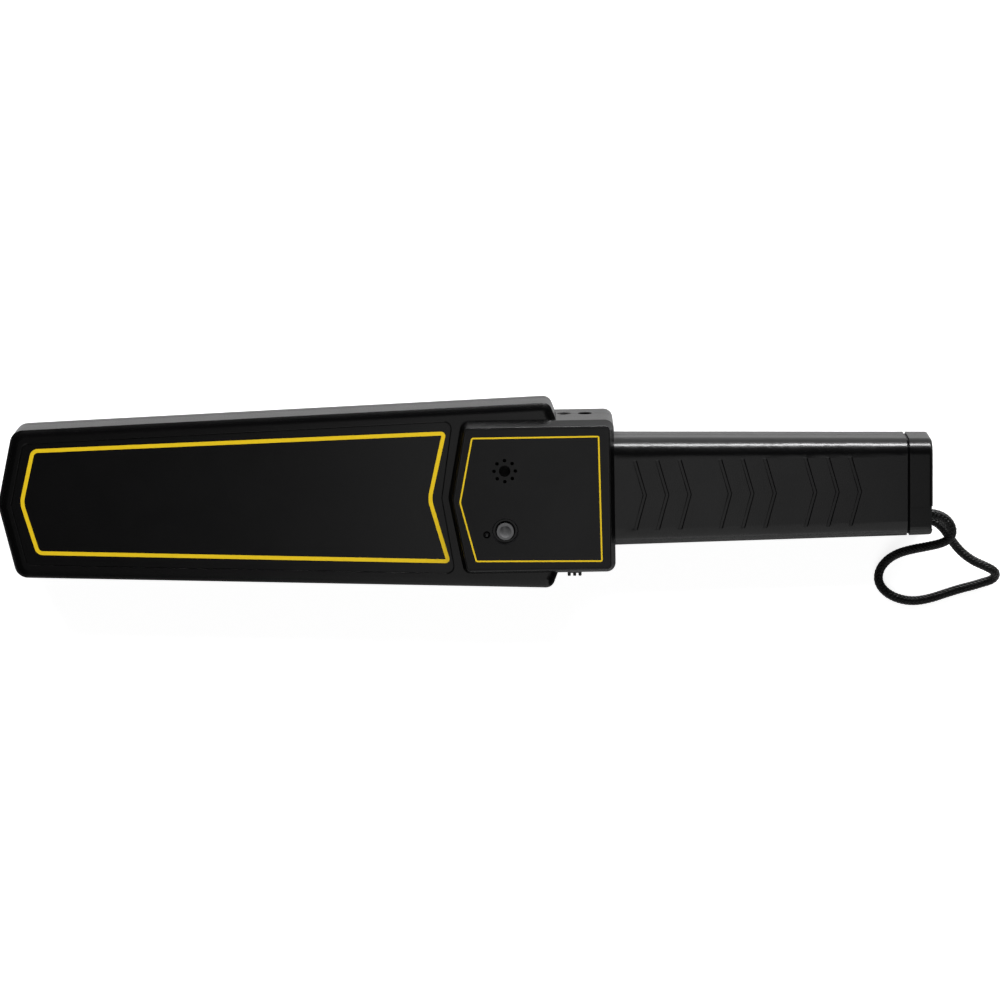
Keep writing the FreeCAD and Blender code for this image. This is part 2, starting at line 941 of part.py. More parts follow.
def make_coil():
    """Foam, former and winding, stacked between the paddle's floor and ceiling."""
    outer = wall + former_clearance
    rear_top = paddle_floor + rear_foam_thickness
    former_top = rear_top + former_thickness
    foam = prism(paddle_slice(outer, former_length), paddle_floor, rear_top)
    save("rear_foam", foam.cut(boss_clearance_holes(paddle_floor, rear_top)))
    foam = prism(paddle_slice(outer, former_length), former_top, paddle_ceiling)
    save("front_foam", foam.cut(boss_clearance_holes(former_top, paddle_ceiling)))
    groove_low = rear_top + (former_thickness - groove_height) / 2
    groove_high = groove_low + groove_height
    former = prism(paddle_slice(outer, former_length), rear_top, former_top)
    core_inset = outer + groove_depth
    core_end = former_length - groove_depth
    groove = prism(paddle_slice(outer - overrun, former_length + overrun), groove_low, groove_high)
    groove = groove.cut(prism(paddle_slice(core_inset, core_end), groove_low, groove_high))
    former = former.cut([groove] + boss_clearance_holes(rear_top, former_top))
    save("coil_former", former)
    low = groove_low + winding_clearance
    high = groove_high - winding_clearance
    winding = prism(paddle_slice(outer + winding_gap, former_length - winding_gap), low, high)
    save("search_coil", winding.cut(prism(paddle_slice(core_inset, core_end), low, high)))


# Board and what it carries


def make_board():
    """Main board, screwed under the front shell."""
    x_low = at(head_length + board_front_inset)
    x_high = at(root_station - board_back_inset)
    board = box_between(x_low, x_high, -board_half_width, board_half_width, board_bottom, board_top)
    holes = []
    for x, y in board_screw_places():
        holes.append(post(x, y, board_bottom - overrun, board_top + overrun,
                          board_screw_shank_radius + running_clearance))
    save("main_board", board.cut(holes))


def chip(station, side, pins):
    """Dual-in-line chip with its legs on the board."""
    x = at(station)
    half_length = pins * chip_pitch / 2 + chip_margin / 2
    lift = chip_margin / 2
    body = box_between(x - half_length, x + half_length, side - chip_width / 2, side + chip_width / 2,
                     board_top + lift, board_top + chip_height)
    legs = []
    for i in range(pins):
        leg_x = x + (i - (pins - 1) / 2) * chip_pitch
        for direction in (-1, 1):
            outer = direction * chip_pin_gap / 2
            inner = direction * (chip_width / 2 - chip_margin)
            y_low, y_high = sorted((side + outer, side + inner))
            shoulder = box_between(leg_x - chip_pin_width / 2, leg_x + chip_pin_width / 2, y_low, y_high,
                                 board_top + chip_height / 2, board_top + chip_height / 2 + chip_pin_width / 2)
            y_low, y_high = sorted((side + outer, side + outer - direction * chip_pin_width / 2))
            foot = box_between(leg_x - chip_pin_width / 2, leg_x + chip_pin_width / 2, y_low, y_high,
                             board_top, board_top + chip_height / 2 + chip_pin_width / 2)
            legs += [shoulder, foot]
    return body.fuse(legs).removeSplitter()


def make_board_parts():
    """Chips, capacitors and resistors on the board's front side."""
    chips = [
        chip(head_length + chip_inset, chip_side, chip_pins),
        chip(head_length + small_chip_inset, small_chip_side, small_chip_pins),
    ]
    save("board_chips", Part.makeCompound(chips))
    cans = []
    for i in range(capacitor_count):
        x = at(head_length + capacitor_inset + i * capacitor_pitch)
        can = post(x, capacitor_side, board_top, board_top + capacitor_height, capacitor_radius)
        rim = level_edges(can, board_top + capacitor_height)
        cans.append(can.makeFillet(capacitor_rim, rim))
    save("board_capacitors", Part.makeCompound(cans))
    rods = []
    for i in range(resistor_count):
        x = at(head_length + resistor_inset + i * resistor_pitch)
        height = board_top + resistor_radius + resistor_lift
        half = resistor_length / 2
        body = Part.makeCylinder(resistor_radius, resistor_length, V(x, resistor_side - half, height), V(0, 1, 0))
        tail = half + resistor_radius
        wire = Part.makeCylinder(resistor_wire_radius, 2 * tail, V(x, resistor_side - tail, height), V(0, 1, 0))
        feet = []
        for end in (-tail, tail):
            feet.append(post(x, resistor_side + end, board_top, height, resistor_wire_radius))
        rods.append(body.fuse([wire] + feet).removeSplitter())
    save("board_resistors", Part.makeCompound(rods))


def make_speaker():
    """Small speaker against its dust screen, behind the grille."""
    x = at(speaker_station)
    screen_low = block_ceiling - screen_thickness
    save("speaker_screen", post(x, speaker_side, screen_low, block_ceiling, screen_radius))
    low = screen_low - speaker_height
    frame = post(x, speaker_side, low, screen_low, speaker_radius)
    dish = Part.makeCone(speaker_dish_floor_radius, speaker_dish_radius, speaker_dish_depth,
                         V(x, speaker_side, screen_low - speaker_dish_depth))
    magnet = post(x, speaker_side, low - magnet_height, low, magnet_radius)
    save("speaker", frame.cut(dish).fuse(magnet).removeSplitter())


def make_button():
    """Push button, its tact switch and the plunger between them."""
    x = at(button_station)
    top = block_height + button_proud
    flange_high = button_guide_bottom - button_return_gap
    flange_low = flange_high - button_flange_height
    cap = post(x, button_side, flange_low, top, button_radius)
    cap = cap.fuse(post(x, button_side, flange_low, flange_high, button_flange_radius))
    dish_sphere = (button_dish_radius ** 2 + button_dish_depth ** 2) / (2 * button_dish_depth)
    dish_centre = V(x, button_side, top + dish_sphere - button_dish_depth)
    socket = post(x, button_side, flange_low - overrun, flange_low + plunger_seat, plunger_radius + running_clearance)
    save("push_button", cap.cut([Part.makeSphere(dish_sphere, dish_centre), socket]).removeSplitter())
    tact_top = board_top + tact_height
    half = tact_width / 2
    body = box_between(x - half, x + half, button_side - half, button_side + half, board_top, tact_top)
    bore = post(x, button_side, tact_top - tact_recess, tact_top + overrun, plunger_radius + running_clearance)
    save("tact_switch", body.cut(bore))
    save("tact_plunger", post(x, button_side, tact_top - plunger_lap, flange_low + plunger_seat, plunger_radius))


def make_lamp():
    """Indicator lamp on two long leads."""
    x = at(lamp_station)
    top = block_face + label_thickness - lamp_sink
    flange_high = block_ceiling - seat_gap
    flange_low = flange_high - lamp_flange_height
    lens = post(x, lamp_side, flange_low, top - lamp_radius, lamp_radius)
    dome = Part.makeSphere(lamp_radius, V(x, lamp_side, top - lamp_radius))
    flange = post(x, lamp_side, flange_low, flange_high, lamp_flange_radius)
    leads = []
    for side in (-lamp_lead_pitch / 2, lamp_lead_pitch / 2):
        leads.append(post(x, lamp_side + side, board_top, flange_high, lamp_lead_radius))
    save("indicator_lamp", lens.fuse([dome, flange] + leads).removeSplitter())


def make_power_switch():
    """Slide switch behind the side wall, and its ribbed knob outside."""
    x = at(switch_station)
    z = socket_height
    half = switch_body_length / 2
    face = -block_inner_side + socket_wall_gap
    body = box_between(x - half, x + half, face, face + switch_body_depth, z - switch_body_below, board_bottom)
    pocket_half = stem_length / 2 + switch_travel + slot_clearance
    pocket_height = stem_height / 2 + slot_clearance
    pocket = box_between(x - pocket_half, x + pocket_half, face - overrun, face + stem_reach + slot_clearance,
                       z - pocket_height, z + pocket_height)
    save("power_switch", body.cut(pocket))
    outside = -block_width / 2 - knob_wall_gap
    tip = -block_width / 2 - knob_proud
    stem = box_between(x - stem_length / 2, x + stem_length / 2, outside, face + stem_reach,
                     z - stem_height / 2, z + stem_height / 2)
    base = box_between(x - knob_length / 2, x + knob_length / 2, outside - knob_base, outside,
                     z - knob_height / 2, z + knob_height / 2)
    ribs = []
    rib_pitch = (knob_length - knob_rib_width) / (knob_ribs - 1)
    for i in range(knob_ribs):
        rib_low = x - knob_length / 2 + i * rib_pitch
        rib = box_between(rib_low, rib_low + knob_rib_width, tip, outside - knob_base / 2,
                        z - knob_height / 2, z + knob_height / 2)
        tip_edges = [edge for edge in rib.Edges if abs(edge.BoundBox.YMax - tip) < match_tolerance
                     and edge.BoundBox.ZLength > knob_height / 2]
        ribs.append(rib.makeFillet(knob_rib_round, tip_edges))
    save("switch_knob", base.fuse([stem] + ribs).removeSplitter())


def make_sockets():
    """Earphone and charging sockets under the board, facing the upper side wall."""
    side = V(0, 1, 0)
    z = socket_height
    face = block_inner_side - socket_wall_gap
    x = at(earphone_station)
    half = earphone_body_width / 2
    body = box_between(x - half, x + half, face - earphone_body_depth, face, z - earphone_body_below, board_bottom)
    mouth = block_width / 2 - earphone_nose_sink
    nose = Part.makeCylinder(earphone_nose_radius, mouth - face + overrun, V(x, face - overrun, z), side)
    bore = Part.makeCylinder(earphone_bore_radius, earphone_bore_depth + overrun,
                             V(x, mouth - earphone_bore_depth, z), side)
    save("earphone_socket", body.fuse(nose).removeSplitter().cut(bore))
    x = at(charge_station)
    half = charge_body_width / 2
    body = box_between(x - half, x + half, face - charge_body_depth, face, z - charge_body_below, board_bottom)
    floor = face - charge_bore_depth
    bore = Part.makeCylinder(charge_bore_radius, charge_bore_depth + overrun, V(x, floor, z), side)
    pin = Part.makeCylinder(charge_pin_radius, charge_pin_length + overrun, V(x, floor - overrun, z), side)
    save("charge_socket", body.cut(bore).fuse(pin).removeSplitter())


def make_trimmer():
    """Sensitivity trimmer under the board, turned through a hole in the back."""
    x = at(trimmer_station)
    low = board_bottom - trimmer_height
    body = post(x, trimmer_side, low, board_bottom, trimmer_radius)
    seat_top = low + trimmer_seat_depth
    seat = post(x, trimmer_side, low - overrun, seat_top, trimmer_rotor_radius + running_clearance)
    save("trimmer_body", body.cut(seat))
    rotor_high = seat_top - running_clearance
    rotor_low = rotor_high - trimmer_rotor_height
    rotor = post(x, trimmer_side, rotor_low, rotor_high, trimmer_rotor_radius)
    slot = box_between(x - trimmer_rotor_radius, x + trimmer_rotor_radius,
                     trimmer_side - trimmer_slot_width / 2, trimmer_side + trimmer_slot_width / 2,
                     rotor_low - overrun, rotor_low + trimmer_slot_depth)
    save("trimmer_rotor", rotor.cut(slot))


# Motor, battery and leads in the handle


def make_motor():
    """Vibration motor and the half-round weight on its shaft."""
    along = V(1, 0, 0)
    can = Part.makeCylinder(motor_radius, motor_length, V(at(motor_start), 0, parting_height), along)
    end = motor_start + motor_length
    shaft_start = at(end - motor_shaft_sink)
    bore = Part.makeCylinder(motor_shaft_radius + running_clearance, motor_shaft_sink + overrun,
                             V(shaft_start, 0, parting_height), along)
    save("vibration_motor", can.cut(bore))
    weight_start = end + weight_gap
    shaft = Part.makeCylinder(motor_shaft_radius, motor_shaft_sink + weight_gap + weight_length - running_clearance,
                              V(shaft_start + running_clearance, 0, parting_height), along)
    lobe = Part.makeCylinder(weight_radius, weight_length, V(at(weight_start), 0, parting_height), along)
    upper = box_between(at(weight_start) - overrun, at(weight_start + weight_length) + overrun,
                      -2 * weight_radius, 2 * weight_radius,
                      parting_height + motor_shaft_radius, parting_height + 2 * weight_radius)
    save("motor_weight", lobe.cut(upper).fuse(shaft).removeSplitter())


def make_battery():
    """Block battery on its pad, and the snap that clips to its terminals."""
    start = battery_start
    low = battery_low
    middle = low + battery_thickness / 2
    half = battery_width / 2
    corners = [
        (-half, low, battery_corner_radius),
        (half, low, battery_corner_radius),
        (half, low + battery_thickness, battery_corner_radius),
        (-half, low + battery_thickness, battery_corner_radius),
    ]
    case = Part.Face(rounded_wire(corners, on_station(start))).extrude(V(battery_length, 0, 0))
    along = V(1, 0, 0)
    studs = []
    sockets = []
    snap_x = at(snap_start)
    for side, radius in ((-terminal_pitch / 2, plus_radius), (terminal_pitch / 2, minus_radius)):
        studs.append(Part.makeCylinder(radius, terminal_height + overrun, V(at(start) - terminal_height, side, middle), along))
        sockets.append(Part.makeCylinder(radius + terminal_clearance, terminal_height + overrun,
                                         V(at(start) - terminal_height - terminal_clearance, side, middle), along))
    save("battery", case.fuse(studs).removeSplitter())
    snap = box_between(snap_x, snap_x + snap_height, -snap_width / 2, snap_width / 2,
                     middle - snap_thickness / 2, middle + snap_thickness / 2)
    save("battery_snap", snap.cut(sockets))
    pad = box_between(at(start), at(start + battery_length), -half, half, wall, low)
    save("battery_pad", pad)


def tube(points, diameter):
    """Round cord along straight runs joined by tangent arcs, and the arcs' radii."""
    places = [V(point) for point in points]
    radii = []
    edges = []
    start = places[0]
    for before, here, after in zip(places, places[1:], places[2:]):
        shorter = min((before - here).Length, (after - here).Length)
        toward_before = (before - here).normalize()
        toward_after = (after - here).normalize()
        half_turn = (math.pi - toward_before.getAngle(toward_after)) / 2
        reach = cord_arc_share * shorter
        radius = reach / math.tan(half_turn)
        radii.append(radius)
        middle = (toward_before + toward_after).normalize()
        arc_start = here + toward_before * reach
        arc_end = here + toward_after * reach
        arc_middle = here + middle * (radius / math.cos(half_turn) - radius)
        edges.append(Part.LineSegment(start, arc_start).toShape())
        edges.append(Part.Arc(arc_start, arc_middle, arc_end).toShape())
        start = arc_end
    edges.append(Part.LineSegment(start, places[-1]).toShape())
    path = Part.Wire(edges)
    ring = Part.Wire(Part.makeCircle(diameter / 2, places[0], places[1] - places[0]))
    return path.makePipeShell([ring], True, False), path.Length, radii


def lead_route(start, leaving, foot, landing):
    """Slack route from a piece to the board above: out straight, along in waves, then up."""
    first = start + leaving * lead_run
    last = V(foot.x, foot.y, landing - lead_rise)
    count = max(int((last - first).Length / lead_run), 2)
    across = (last - first).normalize().cross(V(0, 0, 1)).normalize()
    points = [start, first]
    for i in range(1, count):
        place = first + (last - first) * (i / count)
        sway = lead_sway if i % 2 else -lead_sway
        points.append(place + across * sway + V(0, 0, sway))
    points += [last, V(foot.x, foot.y, landing)]
    return points


def make_lead(name, points):
    """Sheathed lead between two pieces inside the housing."""
    solid, length, radii = tube(points, lead_diameter)
    save(name, solid)
    print("%s arc radii" % name, " ".join("%.1f" % radius for radius in radii))


def make_leads():
    """Leads of the coil, the speaker, the motor and the battery."""
    back = V(-1, 0, 0)
    ahead = V(1, 0, 0)
    coil_z = paddle_floor + rear_foam_thickness + former_thickness / 2
    coil_end = V(at(former_length - winding_gap), coil_lead_side, coil_z)
    foot = V(at(head_length + board_front_inset + lead_board_inset), coil_lead_side, 0)
    make_lead("coil_lead", lead_route(coil_end, ahead, foot, board_bottom))
    foot = V(at(root_station - board_back_inset - lead_board_inset), motor_lead_side, 0)
    motor_end = V(at(motor_start), 0, parting_height)
    make_lead("motor_lead", lead_route(motor_end, back, foot, board_bottom))
    foot = V(foot.x, lead_lane, 0)
    battery_end = V(at(snap_start), lead_lane, parting_height)
    make_lead("battery_lead", lead_route(battery_end, back, foot, board_bottom))
    x = at(speaker_station)
    edge = speaker_side - (speaker_radius + magnet_radius) / 2
    speaker_low = block_ceiling - screen_thickness - speaker_height
    end_run = (speaker_low - board_top) * lead_end_share
    make_lead("speaker_lead", [
        V(x, edge, speaker_low),
        V(x, edge, speaker_low - end_run),
        V(x + speaker_lead_sway, edge, board_top + end_run),
        V(x + speaker_lead_sway, edge, board_top),
    ])


# End cap and wrist strap


def strap_places():
    """The strap's route in the wand's own frame."""
    end = at(overall_length)
    return [V(end + x, y, z) for x, y, z in cord_route]


def cord_holes():
    """Both holes of the strap through the end cap's wall."""
    start = at(overall_length) - cap_end_wall - overrun
    length = cap_end_wall + 2 * overrun
    route = strap_places()
    holes = []
    for place in (route[0], route[-1]):
        holes.append(Part.makeCylinder(cord_hole_radius, length, V(start, place.y, place.z), V(1, 0, 0)))
    return holes


def make_cap():
    """End cap with a collar, a spigot into the handle and a channel for the strap."""
    end = cap_station + cap_length
    body = Part.makeLoft([handle_section(cap_station, 0, cap_station), handle_section(end, 0, end)], True, True)
    end_edges = [edge for edge in body.Edges if edge.BoundBox.XMin > at(end) - match_tolerance]
    body = body.makeFillet(cap_edge_radius, end_edges)
    seat = grip_end_station + seat_gap
    collar = straight_form(grip_end_station, cap_collar_inset, seat, cap_station + overrun)
    spigot_inset = wall + slip_clearance
    spigot = straight_form(grip_end_station, spigot_inset, grip_end_station - spigot_length, cap_station + overrun)
    body = body.fuse([collar, spigot])
    bore_inset = spigot_inset + spigot_wall
    bore = straight_form(grip_end_station, bore_inset, grip_end_station - spigot_length - overrun, end - cap_end_wall)
    room = straight_form(cap_station, cap_wall, seat + cap_shoulder, end - cap_end_wall)
    channel_end = box_between(at(end) - channel_depth, at(end) + overrun, channel_low_side, channel_high_side,
                            handle_back_radius, handle_height + overrun)
    channel_front = box_between(at(cap_station), at(end) + overrun, channel_low_side, channel_high_side,
                              handle_height - channel_depth, handle_height + overrun)
    cap = body.cut([bore, room, channel_end, channel_front] + cord_holes())
    save("end_cap", cap.removeSplitter())


def make_strap():
    """Wrist strap, and the knot that both of its ends run into."""
    solid, length, radii = tube(strap_places(), cord_diameter)
    save("wrist_strap", solid)
    section = math.pi * cord_diameter ** 2 / 4
    print("strap length %.1f, section times length %.1f, volume %.1f" % (length, section * length, solid.Volume))
    print("strap arc radii", " ".join("%.1f" % radius for radius in radii))


def knot_form(radius, x_high, length):
    """Flat bundle round both ends of the strap."""
    route = strap_places()
    first = V(x_high, route[0].y, route[0].z)
    last = V(x_high, route[-1].y, route[-1].z)
    along = V(-1, 0, 0)
    side = (last - first).normalize().cross(along) * radius
    corners = [first + side, last + side, last - side, first - side, first + side]
    web = Part.Face(Part.makePolygon(corners)).extrude(along * length)
    ends = [Part.makeCylinder(radius, length, place, along) for place in (first, last)]
    return web.fuse(ends).removeSplitter()


def make_knot():
    """Knot that both ends of the strap run into, with a groove where it wraps."""
    face = strap_places()[0].x
    knot = knot_form(knot_radius, face, knot_length)
    back = face - knot_length
    rim = [edge for edge in knot.Edges if edge.BoundBox.XMax < back + match_tolerance]
    knot = knot.makeFillet(knot_edge_radius, rim)
    groove_high = face - (knot_length - knot_groove_width) / 2
    groove = knot_form(knot_radius + overrun, groove_high, knot_groove_width)
    groove = groove.cut(knot_form(knot_radius - knot_groove_depth, groove_high, knot_groove_width))
    save("strap_knot", knot.cut(groove))


front_shell()
rear_shell()
make_paddle_label()
make_control_label()
make_coil()
make_screws()
make_board()
make_board_parts()
make_speaker()
make_button()
make_lamp()
make_power_switch()
make_sockets()
make_trimmer()
make_motor()
make_battery()
make_leads()
make_cap()
make_strap()
make_knot()
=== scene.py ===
# %% [markdown]
# # A security metal detector wand
#
# This lesson dresses the wand of a security guard: a flat paddle that holds a search coil, a control block with a
# speaker, a button and a lamp, a hollow grip with a battery, and a braided wrist strap. The hard parts were
# constructed in a CAD model, and Blender loads them as a fixed frame. They keep their shape and get their finishes
# here. What is soft, wound, braided or printed is modelled here.

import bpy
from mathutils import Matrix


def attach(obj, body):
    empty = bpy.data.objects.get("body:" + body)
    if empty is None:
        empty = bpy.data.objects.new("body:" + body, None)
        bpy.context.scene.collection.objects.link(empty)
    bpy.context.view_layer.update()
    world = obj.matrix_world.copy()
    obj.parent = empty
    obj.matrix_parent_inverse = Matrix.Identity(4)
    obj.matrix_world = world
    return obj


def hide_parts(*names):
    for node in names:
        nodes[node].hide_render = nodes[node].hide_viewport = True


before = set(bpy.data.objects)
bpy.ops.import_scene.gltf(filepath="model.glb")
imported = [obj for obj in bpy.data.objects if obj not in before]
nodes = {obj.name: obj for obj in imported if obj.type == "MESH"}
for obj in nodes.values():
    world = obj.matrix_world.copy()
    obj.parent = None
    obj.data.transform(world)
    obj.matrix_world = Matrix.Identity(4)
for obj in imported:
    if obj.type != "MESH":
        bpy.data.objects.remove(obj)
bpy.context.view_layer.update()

# %% Python's own helpers and the unit
from math import cos, pi, radians, sin

import bmesh
import bpy
from mathutils import Matrix, Vector

MM = 0.001  # one millimetre, in the metres that Blender uses
print("one millimetre is", MM)

# %% [markdown]
# ## Camera
#
# The wand lies on a table and is looked at from almost straight above, from 1.8 metres away. The camera leans ten
# degrees towards the side with the sockets, so that side wall shows too. The three turns and the place were found by
# fitting corners of the wand. A camera that far away needs a long lens: 147 mm.

# %% Camera above the wand
camera_turn = (
    Matrix.Rotation(radians(0.968), 3, "Z")
    @ Matrix.Rotation(radians(-0.508), 3, "Y")
    @ Matrix.Rotation(radians(10.046), 3, "X")
).transposed()
looked_at = Vector((0, 0, 20 * MM))
eye = looked_at + camera_turn @ Vector((15.225 * MM, -3.335 * MM, 1800 * MM))

lens = bpy.data.cameras.new("wand_camera")
lens.lens = 146.97
lens.sensor_width = 36
lens.clip_start = 0.1
lens.clip_end = 60
camera = bpy.data.objects.new("wand_camera", lens)
camera.matrix_world = Matrix.Translation(eye) @ camera_turn.to_4x4()
bpy.context.scene.collection.objects.link(camera)
bpy.context.scene.camera = camera
print("camera at", [round(v, 3) for v in eye])

# %% [markdown]
# ## Wrist strap
#
# The strap is one braided cord, 4.2 mm thick. It leaves the end cap through two holes, lies on the table in a loose
# loop, folds back at its far right, and both of its ends run into a knot inside the cap. Its line is a NURBS curve
# through the points of its route, because such a curve bends softly, as a cord does.
#
# A plain bent tube would look like wire. A real braid has sixteen flat yarns: eight wind to the left and eight to
# the right, and each passes over two others and then under two. So each yarn is modelled as a flat band that winds
# round the curve and rises and sinks in that rhythm.

# %% Route of the strap
strap_diameter = 4.2 * MM
strap_places = [
    (201.8, -12.7, 20.5), (206.0, -12.7, 20.5), (210.4, -14.3, 20.4), (213.6, -17.4, 19.8),
    (214.9, -21.5, 18.7), (213.5, -25.2, 17.4), (209.8, -27.3, 15.8), (204.2, -29.0, 13.2),
    (197.8, -30.8, 9.6), (192.0, -33.1, 5.9), (187.2, -36.6, 3.0), (183.8, -41.2, 2.1),
    (183.1, -46.6, 2.1), (186.2, -51.4, 2.1), (191.9, -54.7, 2.1), (199.0, -56.0, 2.1),
    (206.5, -54.8, 2.1), (213.8, -52.4, 2.1), (220.6, -50.4, 2.1), (225.4, -49.3, 2.1),
    (229.3, -48.1, 2.1), (233.6, -46.9, 2.3), (235.3, -45.1, 3.7), (235.3, -42.9, 5.4),
    (233.5, -41.1, 6.8), (229.4, -38.9, 7.8), (224.8, -36.7, 8.4), (219.8, -32.8, 8.9),
    (216.2, -28.4, 9.6), (213.4, -24.2, 10.9), (210.6, -20.1, 13.1), (206.3, -16.4, 16.3),
    (201.8, -16.4, 16.3),
]


def soft_line(name, places, resolution):
    """Points along a NURBS curve that has these places, in millimetres, as its control points."""
    curve = bpy.data.curves.new(name, "CURVE")
    curve.dimensions = "3D"
    curve.resolution_u = resolution
    spline = curve.splines.new("NURBS")
    spline.points.add(len(places) - 1)
    for point, (x, y, z) in zip(spline.points, places):
        point.co = (x * MM, y * MM, z * MM, 1)
    spline.order_u = 3
    spline.use_endpoint_u = True
    holder = bpy.data.objects.new(name, curve)
    mesh = bpy.data.meshes.new_from_object(holder)
    line = [vertex.co.copy() for vertex in mesh.vertices]
    bpy.data.meshes.remove(mesh)
    bpy.data.curves.remove(curve)
    return line


def length_of(line):
    return sum((b - a).length for a, b in zip(line, line[1:]))


strap_line = soft_line("strap_route", strap_places, 14)
strap_length = length_of(strap_line)
print("strap line: %d points, %.1f mm" % (len(strap_line), strap_length / MM))

# %% Steady frames along a line


def evenly_spaced(line, step):
    """The line again, with its points one step apart."""
    count = max(2, round(length_of(line) / step))
    spacing = length_of(line) / count
    spaced = [line[0].copy()]
    walked, wanted = 0, spacing
    for a, b in zip(line, line[1:]):
        run = (b - a).length
        while wanted <= walked + run + 1e-12 and len(spaced) < count:
            spaced.append(a.lerp(b, (wanted - walked) / run))
            wanted += spacing
        walked += run
    spaced.append(line[-1].copy())
    return spaced


def frames_along(line):
    """For each point of a line its direction and two sides, turned as little as possible from point to point."""
    ahead = [(line[min(i + 1, len(line) - 1)] - line[max(i - 1, 0)]).normalized() for i in range(len(line))]
    side = ahead[0].orthogonal().normalized()
    frames = []
    for i, direction in enumerate(ahead):
        if i:
            side = ahead[i - 1].rotation_difference(direction) @ side
            side = (side - direction * side.dot(direction)).normalized()
        frames.append((line[i], direction, side, direction.cross(side)))
    return frames


braid_step = 0.42 * MM
braid_frames = frames_along(evenly_spaced(strap_line, braid_step))
print("braid has", len(braid_frames), "rings")

# %% Closed bands that follow rings of points


def ring_at(middle, side, other, half_side, half_other, count):
    """Points once round a place: an oval with one half width along side and the other along other."""
    turns = [2 * pi * j / count for j in range(count)]
    return [middle + side * (half_side * cos(turn)) + other * (half_other * sin(turn)) for turn in turns]


def add_band(rings, vertices, faces, uvs):
    """A closed tube through rings of points. Its UV runs once along the rings and once round them."""
    start, around = len(vertices), len(rings[0])
    for ring in rings:
        vertices.extend(ring)
    last = len(rings) - 1
    for i in range(last):
        for j in range(around):
            k = (j + 1) % around
            base = start + i * around
            faces.append((base + j, base + k, base + around + k, base + around + j))
            uvs.append([(i, j), (i, j + 1), (i + 1, j + 1), (i + 1, j)])
    first_ring = [start + j for j in reversed(range(around))]
    last_ring = [start + last * around + j for j in range(around)]
    for cap, row in ((first_ring, 0), (last_ring, last)):
        faces.append(tuple(cap))
        uvs.append([(row, 0)] * around)


def band_object(name, vertices, faces, uvs, along):
    """A smooth mesh of bands, with its normals pointing out. A step along a band is so long in its UV map."""
    mesh = bpy.data.meshes.new(name)
    mesh.from_pydata(vertices, [], faces)
    layer = mesh.uv_layers.new(name="UVMap")
    flat = [value for corners in uvs for u, v in corners for value in (u * along, v)]
    layer.data.foreach_set("uv", flat)
    shape = bmesh.new()
    shape.from_mesh(mesh)
    bmesh.ops.recalc_face_normals(shape, faces=shape.faces)
    shape.to_mesh(mesh)
    shape.free()
    mesh.shade_smooth()
    piece = bpy.data.objects.new(name, mesh)
    bpy.context.scene.collection.objects.link(piece)
    print(name, "has", len(mesh.polygons), "faces")
    return piece


# %% The braid: sixteen yarns over two, under two
yarns_each_way = 8
yarn_half_width = 0.62 * MM
yarn_half_thickness = 0.36 * MM
yarn_swing = 0.16 * MM
braid_lay = 13.5 * MM
braid_middle = strap_diameter / 2 - yarn_half_thickness - yarn_swing
yarn_sides = 6


def yarn_rings(number, way):
    """Cross-sections of one yarn that winds one way round the strap."""
    start_angle = 2 * pi * number / yarns_each_way
    crossings_a_turn = 2 * yarns_each_way
    centres, radials = [], []
    travelled = 0
    for i, (place, _, side, other) in enumerate(braid_frames):
        if i:
            travelled += (place - braid_frames[i - 1][0]).length
        turns = travelled / braid_lay
        angle = start_angle + way * 2 * pi * turns
        crossing = crossings_a_turn * turns
        rhythm = crossing + 2 * number if way > 0 else 2 * number - crossing
        lift = way * cos(2 * pi * (rhythm - 0.5) / 4)
        radial = side * cos(angle) + other * sin(angle)
        radials.append(radial)
        centres.append(place + radial * (braid_middle + yarn_swing * lift))
    rings = []
    for i, centre in enumerate(centres):
        ahead = (centres[min(i + 1, len(centres) - 1)] - centres[max(i - 1, 0)]).normalized()
        across = ahead.cross(radials[i]).normalized()
        out = across.cross(ahead)
        rings.append(ring_at(centre, across, out, yarn_half_width, yarn_half_thickness, yarn_sides))
    return rings


def braided_strap():
    vertices, faces, uvs = [], [], []
    for way in (1, -1):
        for number in range(yarns_each_way):
            add_band(yarn_rings(number, way), vertices, faces, uvs)
    core = braid_middle - yarn_half_thickness / 2
    core_rings = [ring_at(place, side, other, core, core, 10) for place, _, side, other in braid_frames]
    add_band(core_rings, vertices, faces, uvs)
    return band_object("braided_strap", vertices, faces, uvs, braid_step / MM)


strap = braided_strap()
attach(strap, "cap")
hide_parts("wrist_strap")

# %% [markdown]
# ## Knot inside the cap
#
# Both ends of the strap meet behind the end wall of the cap. There a thin thread is wound round the pair, which
# sailors call a whipping, and the cut ends are melted, so the strap can't slip back out. The wound thread is one
# helix on a flattened circle. It could be a row of rings, but rings don't lead into each other as a wound thread does.

# %% Cord ends and the whipping round them
knot_high = 201.8 * MM
knot_low = 196.6 * MM
end_middles = [Vector((0, -12.7 * MM, 20.5 * MM)), Vector((0, -16.4 * MM, 16.3 * MM))]
end_radius = 2.05 * MM
thread_radius = 0.22 * MM


def round_rings(middle, along, side, profile, around):
    """Rings of a turned form: the profile gives how far along each ring lies and its radius."""
    other = along.cross(side)
    return [ring_at(middle + along * reach, side, other, radius, radius, around) for reach, radius in profile]


def flattened_circle(first, last, radius, steps):
    """Points once round two circles, as a tight thread goes round both of them."""
    lengthways = (first - last).normalized()
    crossways = lengthways.cross(Vector((1, 0, 0)))
    points = []
    for middle, start in ((first, -pi / 2), (last, pi / 2)):
        for j in range(steps):
            angle = start + pi * j / (steps - 1)
            points.append(middle + (lengthways * cos(angle) + crossways * sin(angle)) * radius)
    return points


